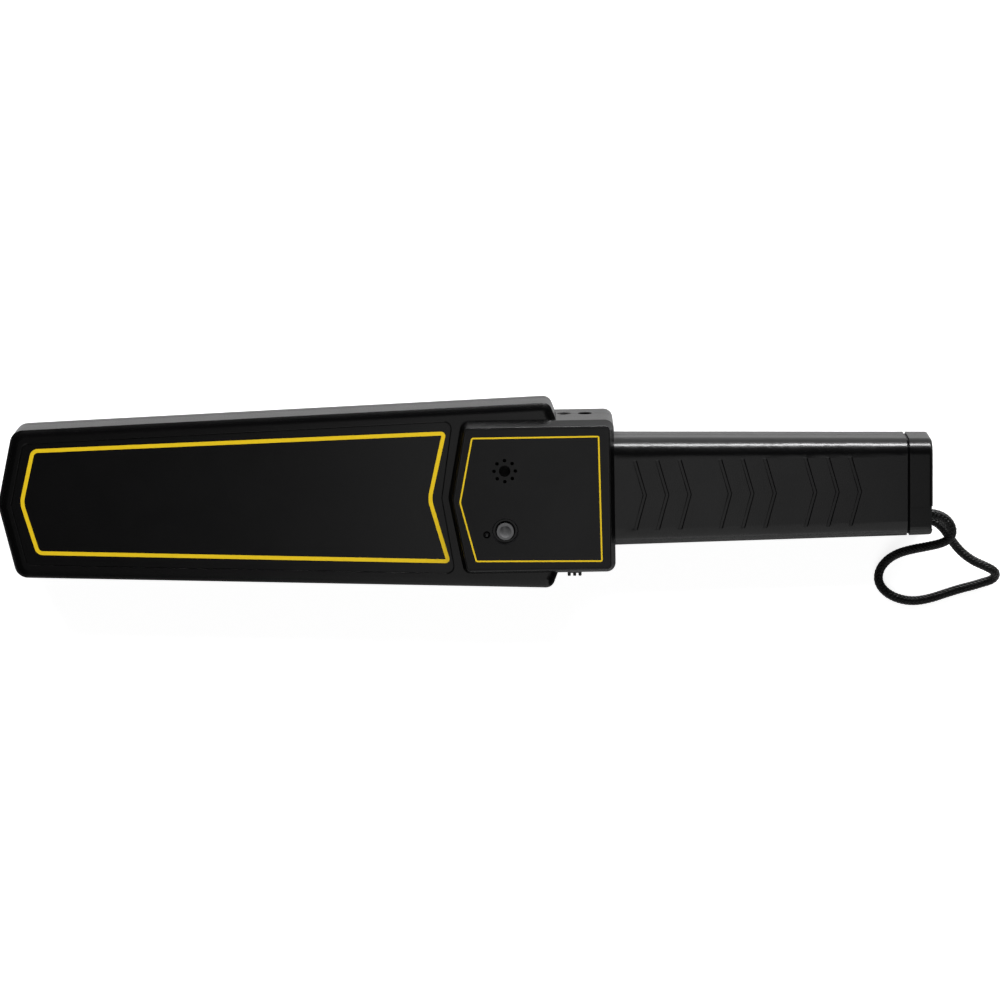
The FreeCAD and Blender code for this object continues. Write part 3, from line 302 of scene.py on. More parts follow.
def whipped_knot():
    vertices, faces, uvs = [], [], []
    back = Vector((-1, 0, 0))
    length = knot_high - knot_low
    for middle in end_middles:
        foot = middle + Vector((knot_high, 0, 0))
        profile = [(0, end_radius), (length * 0.5, end_radius), (length - 0.5 * MM, end_radius * 0.98),
                   (length - 0.15 * MM, end_radius * 0.86), (length - 0.02 * MM, end_radius * 0.55)]
        add_band(round_rings(foot, back, Vector((0, 1, 0)), profile, 20), vertices, faces, uvs)
    oval = flattened_circle(*end_middles, end_radius + thread_radius * 0.9, 9)
    turns = 10
    pitch = 2 * thread_radius
    path = []
    for i in range(turns * len(oval) + 1):
        reach = knot_high - thread_radius - 0.1 * MM - pitch * i / len(oval)
        path.append(Vector((reach, 0, 0)) + oval[i % len(oval)])
    rings = [ring_at(place, side, other, thread_radius, thread_radius, 6)
             for place, _, side, other in frames_along(path)]
    add_band(rings, vertices, faces, uvs)
    return band_object("whipped_knot", vertices, faces, uvs, 0.5)


knot = whipped_knot()
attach(knot, "cap")
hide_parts("strap_knot")

# %% [markdown]
# ## Leads inside the housing
#
# Thin insulated leads join the battery, the motor, the coil and the speaker to the board. The battery, the motor and
# the speaker hang on a twisted pair, one red and one black wire. The coil has a sheathed lead, because its signal is
# weak. Each lead's line is again a NURBS curve through its route, and the two wires of a pair wind round that line.

# %% Twisted pairs and a sheathed lead
lead_diameter = 1.3 * MM
lead_step = 0.5 * MM
wire_lay = 5.5 * MM  # the length in which a wire goes once round its pair
battery_places = [
    (126.3, -8.5, 15.5), (118.3, -8.5, 15.5), (109.69, -7.9, 16.03), (101.07, -9.1, 14.76), (92.46, -7.9, 15.89),
    (83.84, -9.1, 14.61), (75.23, -7.9, 15.74), (66.61, -9.1, 14.47), (58.0, -8.5, 15.0), (58.0, -8.5, 22.0),
]
motor_places = [(83.15, 0, 15.5), (75.15, 0, 15.5), (66.66, 1.84, 15.85), (58.0, 2.5, 15.0), (58.0, 2.5, 22.0)]
coil_places = [(-15.5, 7.0, 18.2), (-7.5, 7.0, 18.2), (1.55, 6.4, 17.2), (10.6, 7.0, 15.0), (10.6, 7.0, 22.0)]
speaker_places = [(17.6, 4.35, 32.4), (17.6, 4.35, 29.58), (18.6, 4.35, 26.42), (18.6, 4.35, 23.6)]


def wire_lead(name, places, strands, lay):
    """Wires that wind round the line of a route, and the points of that line."""
    line = evenly_spaced(soft_line(name + "_route", places, 12), lead_step)
    steady = frames_along(line)
    vertices, faces, uvs = [], [], []
    radius = lead_diameter / (2 * strands)
    off_line = 0 if strands == 1 else radius
    for number in range(strands):
        rings = []
        for i, (place, _, side, other) in enumerate(steady):
            turn = 2 * pi * (number / strands + i * lead_step / lay)
            middle = place + (side * cos(turn) + other * sin(turn)) * off_line
            rings.append(ring_at(middle, side, other, radius, radius, 8))
        add_band(rings, vertices, faces, uvs)
    return band_object(name, vertices, faces, uvs, lead_step / MM), line


lead_pieces = {}
for name, node, places, strands in (
    ("battery_wires", "battery_lead", battery_places, 2),
    ("motor_wires", "motor_lead", motor_places, 2),
    ("coil_cable", "coil_lead", coil_places, 1),
    ("speaker_wires", "speaker_lead", speaker_places, 2),
):
    piece, line = wire_lead(name, places, strands, wire_lay)
    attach(piece, "housing")
    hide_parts(node)
    lead_pieces[name] = piece

# %% [markdown]
# ## Search coil
#
# The coil is enamelled copper wire, wound in the groove round the edge of its plate. Its turns lie in layers, and
# each layer climbs the groove and the next one comes back. One long path is enough for that: it goes round the
# outline again and again, a wire's thickness higher each time, and after each layer it starts closer to the middle.

# %% Outline of the coil's plate, which can be moved in and rounded
plate_corners = [(-195.59, 30.27), (-202.43, 0.0), (-195.59, -30.27), (-15.0, -36.8), (-15.0, 36.8)]


def rounded_outline(corners, inset, rounding, steps):
    """Points round an outline whose sides are moved in and whose corners are arcs."""
    count = len(corners)
    points = [Vector(corner) for corner in corners]
    lines = []
    for i in range(count):
        run = (points[(i + 1) % count] - points[i]).normalized()
        inward = Vector((-run.y, run.x))
        lines.append((points[i] + inward * inset, run, inward))
    outline = []
    for i in range(count):
        (_, before, in_before), (place, run, inward) = lines[i - 1], lines[i]
        share = (before.x * (place.y - lines[i - 1][0].y) - before.y * (place.x - lines[i - 1][0].x))
        corner = place - run * (share / (before.x * run.y - before.y * run.x))
        turn = before.angle(run)
        middle = corner + (in_before + inward).normalized() * (rounding / cos(turn / 2))
        start = -in_before
        for j in range(steps + 1):
            angle = turn * j / steps
            arm = Vector((start.x * cos(angle) - start.y * sin(angle), start.x * sin(angle) + start.y * cos(angle)))
            outline.append(middle + arm * rounding)
    return outline


print("the coil's plate has", len(plate_corners), "corners")

# %% Winding
coil_wire = 0.4
coil_low, coil_high = 15.8, 20.6
coil_layers = 6
turns_a_layer = round((coil_high - coil_low) / coil_wire)


def wound_coil():
    path = []
    for layer in range(coil_layers):
        inset = 0.55 + coil_wire * (0.5 + 0.88 * layer)
        outline = rounded_outline(plate_corners, inset, max(0.5, 2.9 - coil_wire * layer), 4)
        steps = (turns_a_layer - 1) * len(outline)
        for i in range(steps):
            share = i / (steps - 1)
            climb = share if layer % 2 == 0 else 1 - share
            height = coil_low + coil_wire / 2 + climb * (coil_high - coil_low - coil_wire)
            point = outline[i % len(outline)]
            path.append(Vector((point.x * MM, point.y * MM, height * MM)))
    up = Vector((0, 0, 1))
    rings = []
    for i, place in enumerate(path):
        ahead = path[min(i + 1, len(path) - 1)] - path[max(i - 1, 0)]
        out = Vector((ahead.y, -ahead.x, 0)).normalized()
        rings.append(ring_at(place, out, up, coil_wire / 2 * MM, coil_wire / 2 * MM, 5))
    vertices, faces, uvs = [], [], []
    add_band(rings, vertices, faces, uvs)
    return band_object("wound_coil", vertices, faces, uvs, 1)


coil = wound_coil()
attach(coil, "housing")
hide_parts("search_coil")

# %% [markdown]
# ## Foam
#
# Two sheets of grey foam hold the coil's plate between the shells, and a small pad lies under the battery. They are
# cut from flat stock, so their faces are flat, but foam can't hold a sharp rim: its edges pull in and round off under
# the pressure. An extruded outline with generous bevels gives that, and the pores are left to the material.

# %% Cut foam


def flat_outline(name, corners, level, rounding, segments):
    """A flat face from an anticlockwise outline in millimetres, its corners rounded. It is left in edit mode."""
    bpy.ops.object.select_all(action="DESELECT")
    bpy.ops.mesh.primitive_circle_add(vertices=len(corners), radius=1, fill_type="NGON")
    piece = bpy.context.object
    piece.name = name
    for vertex, (x, y) in zip(piece.data.vertices, corners):
        vertex.co = (x * MM, y * MM, level * MM)
    bpy.ops.object.mode_set(mode="EDIT")
    bpy.ops.mesh.select_all(action="SELECT")
    bpy.ops.mesh.bevel(offset=rounding * MM, segments=segments, affect="VERTICES")
    bpy.ops.mesh.select_all(action="SELECT")
    return piece


def cut_foam(name, corners, low, high, corner_rounding, rim):
    """A flat piece of foam between two levels, with soft rims."""
    piece = flat_outline(name, corners, low, corner_rounding, 6)
    bpy.ops.mesh.extrude_region_move(TRANSFORM_OT_translate={"value": (0, 0, (high - low) * MM)})
    bpy.ops.object.mode_set(mode="OBJECT")
    softened = piece.modifiers.new("soft_rims", "BEVEL")
    softened.width = rim * MM
    softened.segments = 4
    softened.limit_method = "ANGLE"
    softened.angle_limit = radians(60)
    bpy.ops.object.modifier_apply(modifier=softened.name)
    bpy.ops.object.mode_set(mode="EDIT")
    bpy.ops.mesh.select_all(action="SELECT")
    bpy.ops.mesh.normals_make_consistent(inside=False)
    bpy.ops.object.mode_set(mode="OBJECT")
    bpy.ops.object.shade_smooth_by_angle(angle=radians(35))
    print(name, "has", len(piece.data.polygons), "faces")
    return piece


inner_corners = [(x + (0.25 if x < -100 else -0.2), y * 0.994) for x, y in plate_corners]
foam_pieces = [
    cut_foam("foam_over_coil", inner_corners, 22.2, 30.2, 2.5, 1.6),
    cut_foam("foam_under_coil", inner_corners, 9.7, 14.2, 2.5, 1.1),
    cut_foam("foam_under_battery", [(131.1, -13.1), (176.9, -13.1), (176.9, 13.1), (131.1, 13.1)], 2.2, 4.7, 1.5, 0.8),
]
for piece, node in zip(foam_pieces, ("front_foam", "rear_foam", "battery_pad")):
    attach(piece, "housing")
    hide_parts(node)

# %% [markdown]
# ## Dust screen of the speaker
#
# A disc of thin black cloth lies between the speaker and the grille's holes. It keeps dust out and makes the holes
# look black. It is a sheet, so it gets rings of faces, a slight sag in its middle and a thickness.

# %% Dust screen
screen_radius = 7.4 * MM
screen_middle = (17.6 * MM, 12.6 * MM, 37.16 * MM)

bpy.ops.object.select_all(action="DESELECT")
bpy.ops.mesh.primitive_circle_add(vertices=48, radius=screen_radius, fill_type="NGON", location=screen_middle)
screen = bpy.context.object
screen.name = "dust_screen"
bpy.ops.object.transform_apply(location=True, rotation=True, scale=True)
bpy.ops.object.mode_set(mode="EDIT")
bpy.ops.mesh.select_mode(type="FACE")
bpy.ops.mesh.select_all(action="SELECT")
for step in range(5):
    bpy.ops.mesh.inset(thickness=1.2 * MM, depth=-0.012 * MM)
bpy.ops.object.mode_set(mode="OBJECT")
thick = screen.modifiers.new("cloth", "SOLIDIFY")
thick.thickness = 0.16 * MM
thick.offset = -1
bpy.ops.object.modifier_apply(modifier=thick.name)
bpy.ops.object.shade_smooth_by_angle(angle=radians(40))
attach(screen, "housing")
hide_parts("speaker_screen")
print("dust screen has", len(screen.data.polygons), "faces")

# %% [markdown]
# ## Making materials
#
# Every finish here is a Principled shader that is fed by small procedural patterns. Patterns that several finishes
# share, such as the fine texture of a mould, are node groups with named sockets, so that they are built once.

# %% Helpers for nodes


def new_finish(name, color, roughness, metallic=0.0):
    """A material with a Principled shader, its node tree and the shader."""
    material = bpy.data.materials.new(name)
    material.use_nodes = True
    tree = material.node_tree
    shader = tree.nodes["Principled BSDF"]
    shader.inputs["Base Color"].default_value = (*color, 1)
    shader.inputs["Roughness"].default_value = roughness
    shader.inputs["Metallic"].default_value = metallic
    return material, tree, shader


def add(tree, kind, links=None, **settings):
    """A node with some settings, its inputs taken from values or from other nodes' outputs."""
    node = tree.nodes.new("ShaderNode" + kind)
    node.location = (-180 * (len(tree.nodes) % 9), -170 * (len(tree.nodes) // 9))
    for key, value in settings.items():
        setattr(node, key, value)
    for key, value in (links or {}).items():
        if isinstance(value, bpy.types.NodeSocket):
            tree.links.new(value, node.inputs[key])
        else:
            node.inputs[key].default_value = value
    return node


def maths(tree, operation, first, second=0.0, third=0.5, clamp=False):
    return add(tree, "Math", {0: first, 1: second, 2: third}, operation=operation, use_clamp=clamp).outputs[0]


def faded(tree, value, low, high, first=0.0, last=1.0):
    """A value that goes from first to last while another one goes from low to high."""
    return add(tree, "MapRange", {
        "Value": value, "From Min": low, "From Max": high, "To Min": first, "To Max": last,
    }, clamp=True).outputs["Result"]


def two_colors(tree, factor, first, second):
    """A colour between two others. Each is three numbers or another node's output."""
    links = {0: factor}
    for key, value in ((6, first), (7, second)):
        links[key] = value if isinstance(value, bpy.types.NodeSocket) else (*value, 1)
    return add(tree, "Mix", links, data_type="RGBA").outputs[2]


def noise(tree, where, scale, detail):
    return add(tree, "TexNoise", {"Vector": where, "Scale": scale, "Detail": detail}).outputs["Fac"]


def places(tree):
    """The object's own coordinates, whole and split."""
    where = add(tree, "TexCoord").outputs["Object"]
    return where, add(tree, "SeparateXYZ", {0: where}).outputs


def feed(shader, key, value):
    """Links another node's output to one of the shader's inputs."""
    shader.id_data.links.new(value, shader.inputs[key])


def raised(tree, shader, height, depth, strength=1.0):
    """Bumps a surface by a height, at most depth millimetres."""
    bump = add(tree, "Bump", {"Height": height, "Distance": depth * MM, "Strength": strength})
    feed(shader, "Normal", bump.outputs[0])


def new_group(name, inputs, outputs):
    """A shader node group with named sockets: its tree, its input node and its output node."""
    group = bpy.data.node_groups.new(name, "ShaderNodeTree")
    for label, kind, value in inputs:
        socket = group.interface.new_socket(label, in_out="INPUT", socket_type="NodeSocket" + kind)
        if value is not None:
            socket.default_value = value
    for label, kind in outputs:
        group.interface.new_socket(label, in_out="OUTPUT", socket_type="NodeSocket" + kind)
    return group, group.nodes.new("NodeGroupInput"), group.nodes.new("NodeGroupOutput")


def place_group(tree, group, links):
    return add(tree, "Group", links, node_tree=group)


def dress(material, *names):
    """Gives CAD nodes a finish through their own slots."""
    for name in names:
        for place in nodes[name].material_slots:
            place.material = material
    print(material.name, "on", ", ".join(names))


print("node helpers are ready")

# %% Group: fine texture of a mould
mould_texture, given, result = new_group(
    "mould_texture",
    [("Vector", "Vector", None), ("Grain per mm", "Float", 3.0)],
    [("Height", "Float"), ("Cloud", "Float")],
)
tree = mould_texture
scale = maths(tree, "MULTIPLY", given.outputs["Grain per mm"], 1000)
fine = add(tree, "TexNoise", {"Vector": given.outputs["Vector"], "Scale": scale, "Detail": 2.0, "Roughness": 0.6})
pits = add(tree, "TexVoronoi", {"Vector": given.outputs["Vector"], "Scale": scale}, feature="SMOOTH_F1")
cloud = add(tree, "TexNoise", {"Vector": given.outputs["Vector"], "Scale": 45.0, "Detail": 4.0, "Roughness": 0.55})
height = maths(tree, "ADD", maths(tree, "MULTIPLY", fine.outputs["Fac"], 0.7),
               maths(tree, "MULTIPLY", pits.outputs["Distance"], 0.3))
tree.links.new(height, result.inputs["Height"])
tree.links.new(cloud.outputs["Fac"], result.inputs["Cloud"])
print(mould_texture.name, "built")

# %% Group: handling marks
handling_marks, given, result = new_group(
    "handling_marks",
    [("Vector", "Vector", None), ("Roughness", "Float", 0.3), ("Amount", "Float", 0.08)],
    [("Roughness", "Float")],
)
tree = handling_marks
smear = add(tree, "TexNoise", {"Vector": given.outputs["Vector"], "Scale": 60.0, "Detail": 5.0, "Distortion": 0.6})
lifted = faded(tree, smear.outputs["Fac"], 0.3, 0.7, -1.0, 1.0)
change = maths(tree, "MULTIPLY", lifted, given.outputs["Amount"])
rough = maths(tree, "ADD", given.outputs["Roughness"], change, clamp=True)
tree.links.new(rough, result.inputs["Roughness"])
print(handling_marks.name, "built")

# %% Group: worn rims, with a painted highlight along the edges
worn_and_highlit_rims, given, result = new_group(
    "worn_and_highlit_rims",
    [("Vector", "Vector", None), ("Width", "Float", 0.0004)],
    [("Wear and highlight", "Float")],
)
tree = worn_and_highlit_rims
# Rims get a paler colour here: partly wear, partly a painted highlight along the edges.
rim = add(tree, "Bevel", {"Radius": given.outputs["Width"]}, samples=4)
flat = add(tree, "NewGeometry").outputs["Normal"]
likeness = add(tree, "VectorMath", {0: rim.outputs[0], 1: flat}, operation="DOT_PRODUCT").outputs["Value"]
edge = faded(tree, likeness, 0.99, 0.86)
broken = faded(tree, noise(tree, given.outputs["Vector"], 220.0, 4.0), 0.42, 0.62)
tree.links.new(maths(tree, "MULTIPLY", edge, broken), result.inputs["Wear and highlight"])
print(worn_and_highlit_rims.name, "built")

# %% Moulded plastics


def moulded(name, color, roughness, grain, depth, amount=0.02, shift=0.2, wear_and_highlight=0.0):
    """Injection moulded plastic: a fine texture, small changes of gloss, and a colour that drifts a little."""
    material, tree, shader = new_finish(name, color, roughness)
    where = add(tree, "TexCoord").outputs["Object"]
    texture = place_group(tree, mould_texture, {"Vector": where, "Grain per mm": grain})
    marks = place_group(tree, handling_marks, {"Vector": where, "Roughness": roughness, "Amount": amount})
    darker = tuple(c * (1 - shift) for c in color)
    paler = tuple(c * (1 + shift) for c in color)
    tint = two_colors(tree, texture.outputs["Cloud"], darker, paler)
    # Paler rims: wear and a painted edge highlight, mixed into the colour.
    if wear_and_highlight:
        rims = place_group(tree, worn_and_highlit_rims, {"Vector": where, "Width": 0.35 * MM})
        tint = two_colors(tree, maths(tree, "MULTIPLY", rims.outputs["Wear and highlight"], wear_and_highlight), tint,
                          tuple(min(1.0, c * 2.2 + 0.012) for c in color))
    feed(shader, "Base Color", tint)
    feed(shader, "Roughness", marks.outputs["Roughness"])
    raised(tree, shader, texture.outputs["Height"], depth)
    return material


print("plastics are moulded with one helper")

# %% Housing and cap
black = (0.0012, 0.0012, 0.0013)
button_middle = (17.4 * MM, -14.2 * MM, 0)
well_radius = 4.4 * MM
chamfer_radius, chamfer_half_width = 5.55 * MM, 0.3 * MM
cap_length = 10.05 * MM
matt, polished = 0.02, 0.5

shell_plastic = moulded("black_housing", black, 0.25, 7, 0.0012, amount=0.012, wear_and_highlight=0.5)
tree = shell_plastic.node_tree
shader = tree.nodes["Principled BSDF"]
_, split = places(tree)
seen_from_front = add(tree, "CombineXYZ", {"X": split[0], "Y": split[1]}).outputs[0]
from_button = add(tree, "VectorMath", {0: seen_from_front, 1: button_middle}, operation="DISTANCE").outputs["Value"]
gloss = faded(tree, from_button, well_radius - 0.1 * MM, well_radius + 0.1 * MM, matt, polished)
feed(shader, "Specular IOR Level", gloss)
# The chamfer round the button's well gets a paler base colour: a painted highlight in place of its reflection.
chamfer_highlight_ring = maths(tree, "COMPARE", from_button, chamfer_radius, chamfer_half_width)
before = shader.inputs["Base Color"].links[0].from_socket
feed(shader, "Base Color", two_colors(tree, chamfer_highlight_ring, before, (0.010, 0.010, 0.0105)))
dress(shell_plastic, "front_shell", "rear_shell")

cap_plastic = moulded("black_cap", black, 0.24, 7, 0.0012, amount=0.012, wear_and_highlight=0.5)
tree = cap_plastic.node_tree
_, split = places(tree)
cap_end = max(vertex.co.x for vertex in nodes["end_cap"].data.vertices)
inside = maths(tree, "LESS_THAN", split[0], cap_end - cap_length)  # the collar in the seam is matt, not polished
feed(tree.nodes["Principled BSDF"], "Specular IOR Level", faded(tree, inside, 0.0, 1.0, 0.4, matt))
dress(cap_plastic, "end_cap")

# %% Labels, controls and small plastics
dress(moulded("black_label", black, 0.24, 9, 0.001, amount=0.015), "paddle_label")
control_sheet = moulded("black_control_label", black, 0.24, 9, 0.001, amount=0.015)
control_sheet.node_tree.nodes["Principled BSDF"].inputs["Specular IOR Level"].default_value = 0.37
dress(control_sheet, "control_label")
dress(moulded("black_knob", (0.006, 0.006, 0.006), 0.36, 4, 0.008, wear_and_highlight=0.6), "switch_knob")
dress(moulded("grey_button", (0.078, 0.078, 0.08), 0.26, 5, 0.004, shift=0.08), "push_button")
dress(moulded("natural_former", (0.62, 0.60, 0.52), 0.42, 3, 0.012, shift=0.05), "coil_former")
dress(moulded("natural_plunger", (0.70, 0.69, 0.64), 0.36, 4, 0.006, shift=0.05), "tact_plunger")
dress(moulded("black_small_parts", (0.012, 0.012, 0.012), 0.42, 5, 0.006), "tact_switch", "battery_snap")
dress(moulded("black_sockets", (0.003, 0.003, 0.003), 0.5, 5, 0.006), "earphone_socket", "charge_socket")
dress(moulded("blue_trimmer", (0.015, 0.07, 0.42), 0.34, 5, 0.005, shift=0.12), "trimmer_body")
dress(moulded("white_rotor", (0.72, 0.71, 0.67), 0.38, 5, 0.005, shift=0.06, wear_and_highlight=0.4), "trimmer_rotor")

# %% [markdown]
# ## Metals
#
# Small steel parts are stamped or turned. A stamped part has fine lines in one direction and a turned part has them
# round its axis, and both show more in the gloss than in the colour. So one helper stretches a noise along an axis
# and feeds it to the roughness and to a very low bump.

# %% Steel parts


def steel(name, color, roughness, stretch, depth=0.004):
    """Plain metal with fine lines: a noise that is stretched by three factors."""
    material, tree, shader = new_finish(name, color, roughness, 1.0)
    where = add(tree, "TexCoord").outputs["Object"]
    longer = add(tree, "Mapping", {"Vector": where, "Scale": stretch}).outputs[0]
    lines = noise(tree, longer, 900.0, 3.0)
    stains = noise(tree, where, 260.0, 4.0)
    feed(shader, "Roughness", faded(tree, lines, 0.3, 0.7, roughness - 0.09, roughness + 0.12))
    feed(shader, "Base Color", two_colors(tree, stains, tuple(c * 0.82 for c in color), color))
    raised(tree, shader, lines, depth)
    return material


dress(steel("zinc_screws", (0.62, 0.63, 0.64), 0.32, (1, 1, 0.2)), "housing_screws", "board_screws")
dress(steel("pressed_steel", (0.42, 0.42, 0.43), 0.36, (1, 1, 0.1)), "speaker")
dress(steel("switch_tin", (0.60, 0.60, 0.58), 0.38, (0.05, 1, 1)), "power_switch")
dress(steel("motor_can", (0.58, 0.58, 0.60), 0.30, (0.06, 1, 1)), "vibration_motor")
dress(steel("dense_weight", (0.30, 0.30, 0.31), 0.45, (1, 0.3, 0.3), depth=0.01), "motor_weight")

# %% [markdown]
# ## Electronics
#
# Board, chips, capacitors and resistors come as one solid each, with their metal legs. One material then has to give
# two surfaces, and it can, because the legs lie at known places: a mask from the coordinates of the object tells
# metal from plastic. The same way gives the resistors their coloured rings and the capacitors their pale stripe.

# %% Board with traces and pads
board_back, board_front = 22.04 * MM, 23.56 * MM

board, tree, shader = new_finish("green_board", (0.008, 0.075, 0.024), 0.35)
where, split = places(tree)
cells = {"Vector": where, "Scale": 430.0}
near_cell, next_cell = (
    add(tree, "TexVoronoi", cells, feature=order, distance="CHEBYCHEV").outputs["Distance"] for order in ("F1", "F2")
)
trace = faded(tree, maths(tree, "SUBTRACT", next_cell, near_cell), 0.10, 0.05)
dots = add(tree, "TexVoronoi", {"Vector": where, "Scale": 390.0}).outputs["Distance"]
pad = maths(tree, "LESS_THAN", dots, 0.16)
rim = maths(tree, "MULTIPLY", maths(tree, "GREATER_THAN", split[2], board_back),
            maths(tree, "LESS_THAN", split[2], board_front))
mask_color = two_colors(tree, trace, (0.006, 0.060, 0.020), (0.020, 0.150, 0.050))
mask_color = two_colors(tree, pad, mask_color, (0.62, 0.60, 0.55))
feed(shader, "Base Color", two_colors(tree, rim, mask_color, (0.33, 0.27, 0.13)))
feed(shader, "Metallic", maths(tree, "MULTIPLY", pad, maths(tree, "SUBTRACT", 1.0, rim)))
raised(tree, shader, trace, 0.03, 0.6)
dress(board, "main_board")

# %% Chips with legs
rows_middle, row_distance, case_half_width = 1 * MM, 7 * MM, 3.22 * MM

chips, tree, shader = new_finish("black_chips", (0.011, 0.011, 0.012), 0.5)
where, split = places(tree)
from_middle = maths(tree, "ABSOLUTE", maths(tree, "SUBTRACT", split[1], rows_middle))
from_row = maths(tree, "ABSOLUTE", maths(tree, "SUBTRACT", from_middle, row_distance))
leg = maths(tree, "GREATER_THAN", from_row, case_half_width)
grit = noise(tree, where, 5200.0, 2.0)
case = two_colors(tree, grit, (0.008, 0.008, 0.009), (0.018, 0.018, 0.019))
feed(shader, "Base Color", two_colors(tree, leg, case, (0.66, 0.65, 0.62)))
feed(shader, "Metallic", leg)
feed(shader, "Roughness", faded(tree, leg, 0.0, 1.0, 0.55, 0.28))
raised(tree, shader, grit, 0.02)
dress(chips, "board_chips")

# %% Capacitors with a stripe
can_top, stripe_edge = 31.0 * MM, -23.9 * MM

cans, tree, shader = new_finish("sleeved_cans", (0.010, 0.016, 0.045), 0.3)
where, split = places(tree)
top = maths(tree, "GREATER_THAN", split[2], can_top)
stripe = maths(tree, "LESS_THAN", split[1], stripe_edge)
grit = noise(tree, where, 700.0, 3.0)
sleeve = two_colors(tree, grit, (0.008, 0.012, 0.036), (0.014, 0.022, 0.060))
sleeve = two_colors(tree, stripe, sleeve, (0.42, 0.44, 0.47))
feed(shader, "Base Color", two_colors(tree, top, sleeve, (0.70, 0.70, 0.71)))
feed(shader, "Metallic", top)
raised(tree, shader, grit, 0.01)
dress(cans, "board_capacitors")

# %% Resistors with rings
rods_middle, rod_half_length = 20.5 * MM, 2.5 * MM
beige = (0.55, 0.40, 0.24)
ring_colors = {
    0.16: (0.12, 0.035, 0.01), 0.36: (0.006, 0.006, 0.006), 0.56: (0.50, 0.02, 0.01), 0.80: (0.45, 0.28, 0.06),
}

rods, tree, shader = new_finish("ringed_rods", beige, 0.4)
where, split = places(tree)
along = maths(tree, "SUBTRACT", split[1], rods_middle)
wire = maths(tree, "GREATER_THAN", maths(tree, "ABSOLUTE", along), rod_half_length)
rings = add(tree, "ValToRGB", {0: faded(tree, along, -rod_half_length, rod_half_length)})
ramp = rings.color_ramp
ramp.interpolation = "CONSTANT"
for element in ramp.elements:
    element.color = (*beige, 1)
for position, color in ring_colors.items():
    ramp.elements.new(position).color = (*color, 1)
    ramp.elements.new(position + 0.1).color = (*beige, 1)
grit = noise(tree, where, 1500.0, 2.0)
feed(shader, "Base Color", two_colors(tree, wire, rings.outputs[0], (0.68, 0.68, 0.66)))
feed(shader, "Metallic", wire)
raised(tree, shader, grit, 0.01)
dress(rods, "board_resistors")

# %% Lamp: smoky lens and tinned leads
lens_foot = 35.8 * MM

lens_finish, tree, shader = new_finish("smoky_lens", (0.003, 0.003, 0.003), 0.06)
shader.inputs["Coat Weight"].default_value = 0.6
shader.inputs["Coat Roughness"].default_value = 0.03
where, split = places(tree)
lead_part = maths(tree, "LESS_THAN", split[2], lens_foot)
depths = noise(tree, where, 480.0, 2.0)
smoke = two_colors(tree, depths, (0.006, 0.006, 0.006), (0.010, 0.0095, 0.0095))
feed(shader, "Base Color", two_colors(tree, lead_part, smoke, (0.66, 0.65, 0.62)))
feed(shader, "Metallic", lead_part)
feed(shader, "Roughness", faded(tree, depths, 0.2, 0.8, 0.04, 0.12))
dress(lens_finish, "indicator_lamp")

# %% Battery: wrapped case and terminals
terminals_end, foil_end = 130.95 * MM, 144 * MM
line_middle, line_half_width = 144.6 * MM, 0.5 * MM

wrapped, tree, shader = new_finish("wrapped_battery", (0.012, 0.012, 0.013), 0.3)
where, split = places(tree)
terminal = maths(tree, "LESS_THAN", split[0], terminals_end)
gold = maths(tree, "LESS_THAN", split[0], foil_end)
line = maths(tree, "COMPARE", split[0], line_middle, line_half_width)
grit = noise(tree, where, 350.0, 4.0)
foil = two_colors(tree, grit, (0.50, 0.26, 0.11), (0.66, 0.36, 0.16))
dark = two_colors(tree, grit, (0.009, 0.009, 0.010), (0.020, 0.020, 0.022))
case = two_colors(tree, gold, dark, foil)
case = two_colors(tree, line, case, (0.70, 0.70, 0.70))
feed(shader, "Base Color", two_colors(tree, terminal, case, (0.72, 0.72, 0.72)))
feed(shader, "Metallic", maths(tree, "MAXIMUM", terminal, maths(tree, "MULTIPLY", gold, 0.85)))
feed(shader, "Roughness", faded(tree, grit, 0.3, 0.7, 0.24, 0.38))
raised(tree, shader, grit, 0.02)
dress(wrapped, "battery")

# %% [markdown]
# ## Soft and wound finishes
#
# Yarn, foam, cloth, insulation and enamelled wire each get a pattern at its real size. Yarn and insulation follow
# their own UV map, because their lines follow the piece. Foam, the flat cloth and the enamel use the object's
# coordinates.

# %% Yarn of the strap and of its knot
yarn, tree, shader = new_finish("black_yarn", (0.003, 0.003, 0.003), 0.45)
shader.inputs["Specular IOR Level"].default_value = 0.45
along = add(tree, "TexCoord").outputs["UV"]
fibres = add(tree, "Mapping", {"Vector": along, "Rotation": (0, 0, 0.35), "Scale": (1.2, 26.0, 1.0)})
fibre = noise(tree, fibres.outputs[0], 1.0, 2.0)
feed(shader, "Base Color", two_colors(tree, fibre, (0.0004, 0.0004, 0.0004), (0.003, 0.003, 0.0031)))
feed(shader, "Roughness", faded(tree, fibre, 0.3, 0.7, 0.26, 0.42))
raised(tree, shader, fibre, 0.05, 0.8)
for piece in (strap, knot):
    piece.data.materials.append(yarn)
print("yarn on", strap.name, "and", knot.name)

# %% Foam
foam, tree, shader = new_finish("grey_foam", (0.085, 0.085, 0.09), 0.95)
where, _ = places(tree)
cells = add(tree, "TexVoronoi", {"Vector": where, "Scale": 1500.0}).outputs["Distance"]
larger = noise(tree, where, 90.0, 3.0)
# Darker colour inside the pores: painted shade, beside the bump that dents them.
pore_shade = faded(tree, cells, 0.12, 0.5)
tone = two_colors(tree, larger, (0.070, 0.070, 0.075), (0.105, 0.105, 0.11))
feed(shader, "Base Color", two_colors(tree, pore_shade, (0.025, 0.025, 0.027), tone))
feed(shader, "Roughness", faded(tree, larger, 0.3, 0.7, 0.88, 1.0))
raised(tree, shader, pore_shade, 0.25)
for piece in foam_pieces:
    piece.data.materials.append(foam)
print("foam on", len(foam_pieces), "pieces")

# %% Dust cloth
turns_a_metre = 14000.0  # of the sine that stands for the threads, in radians

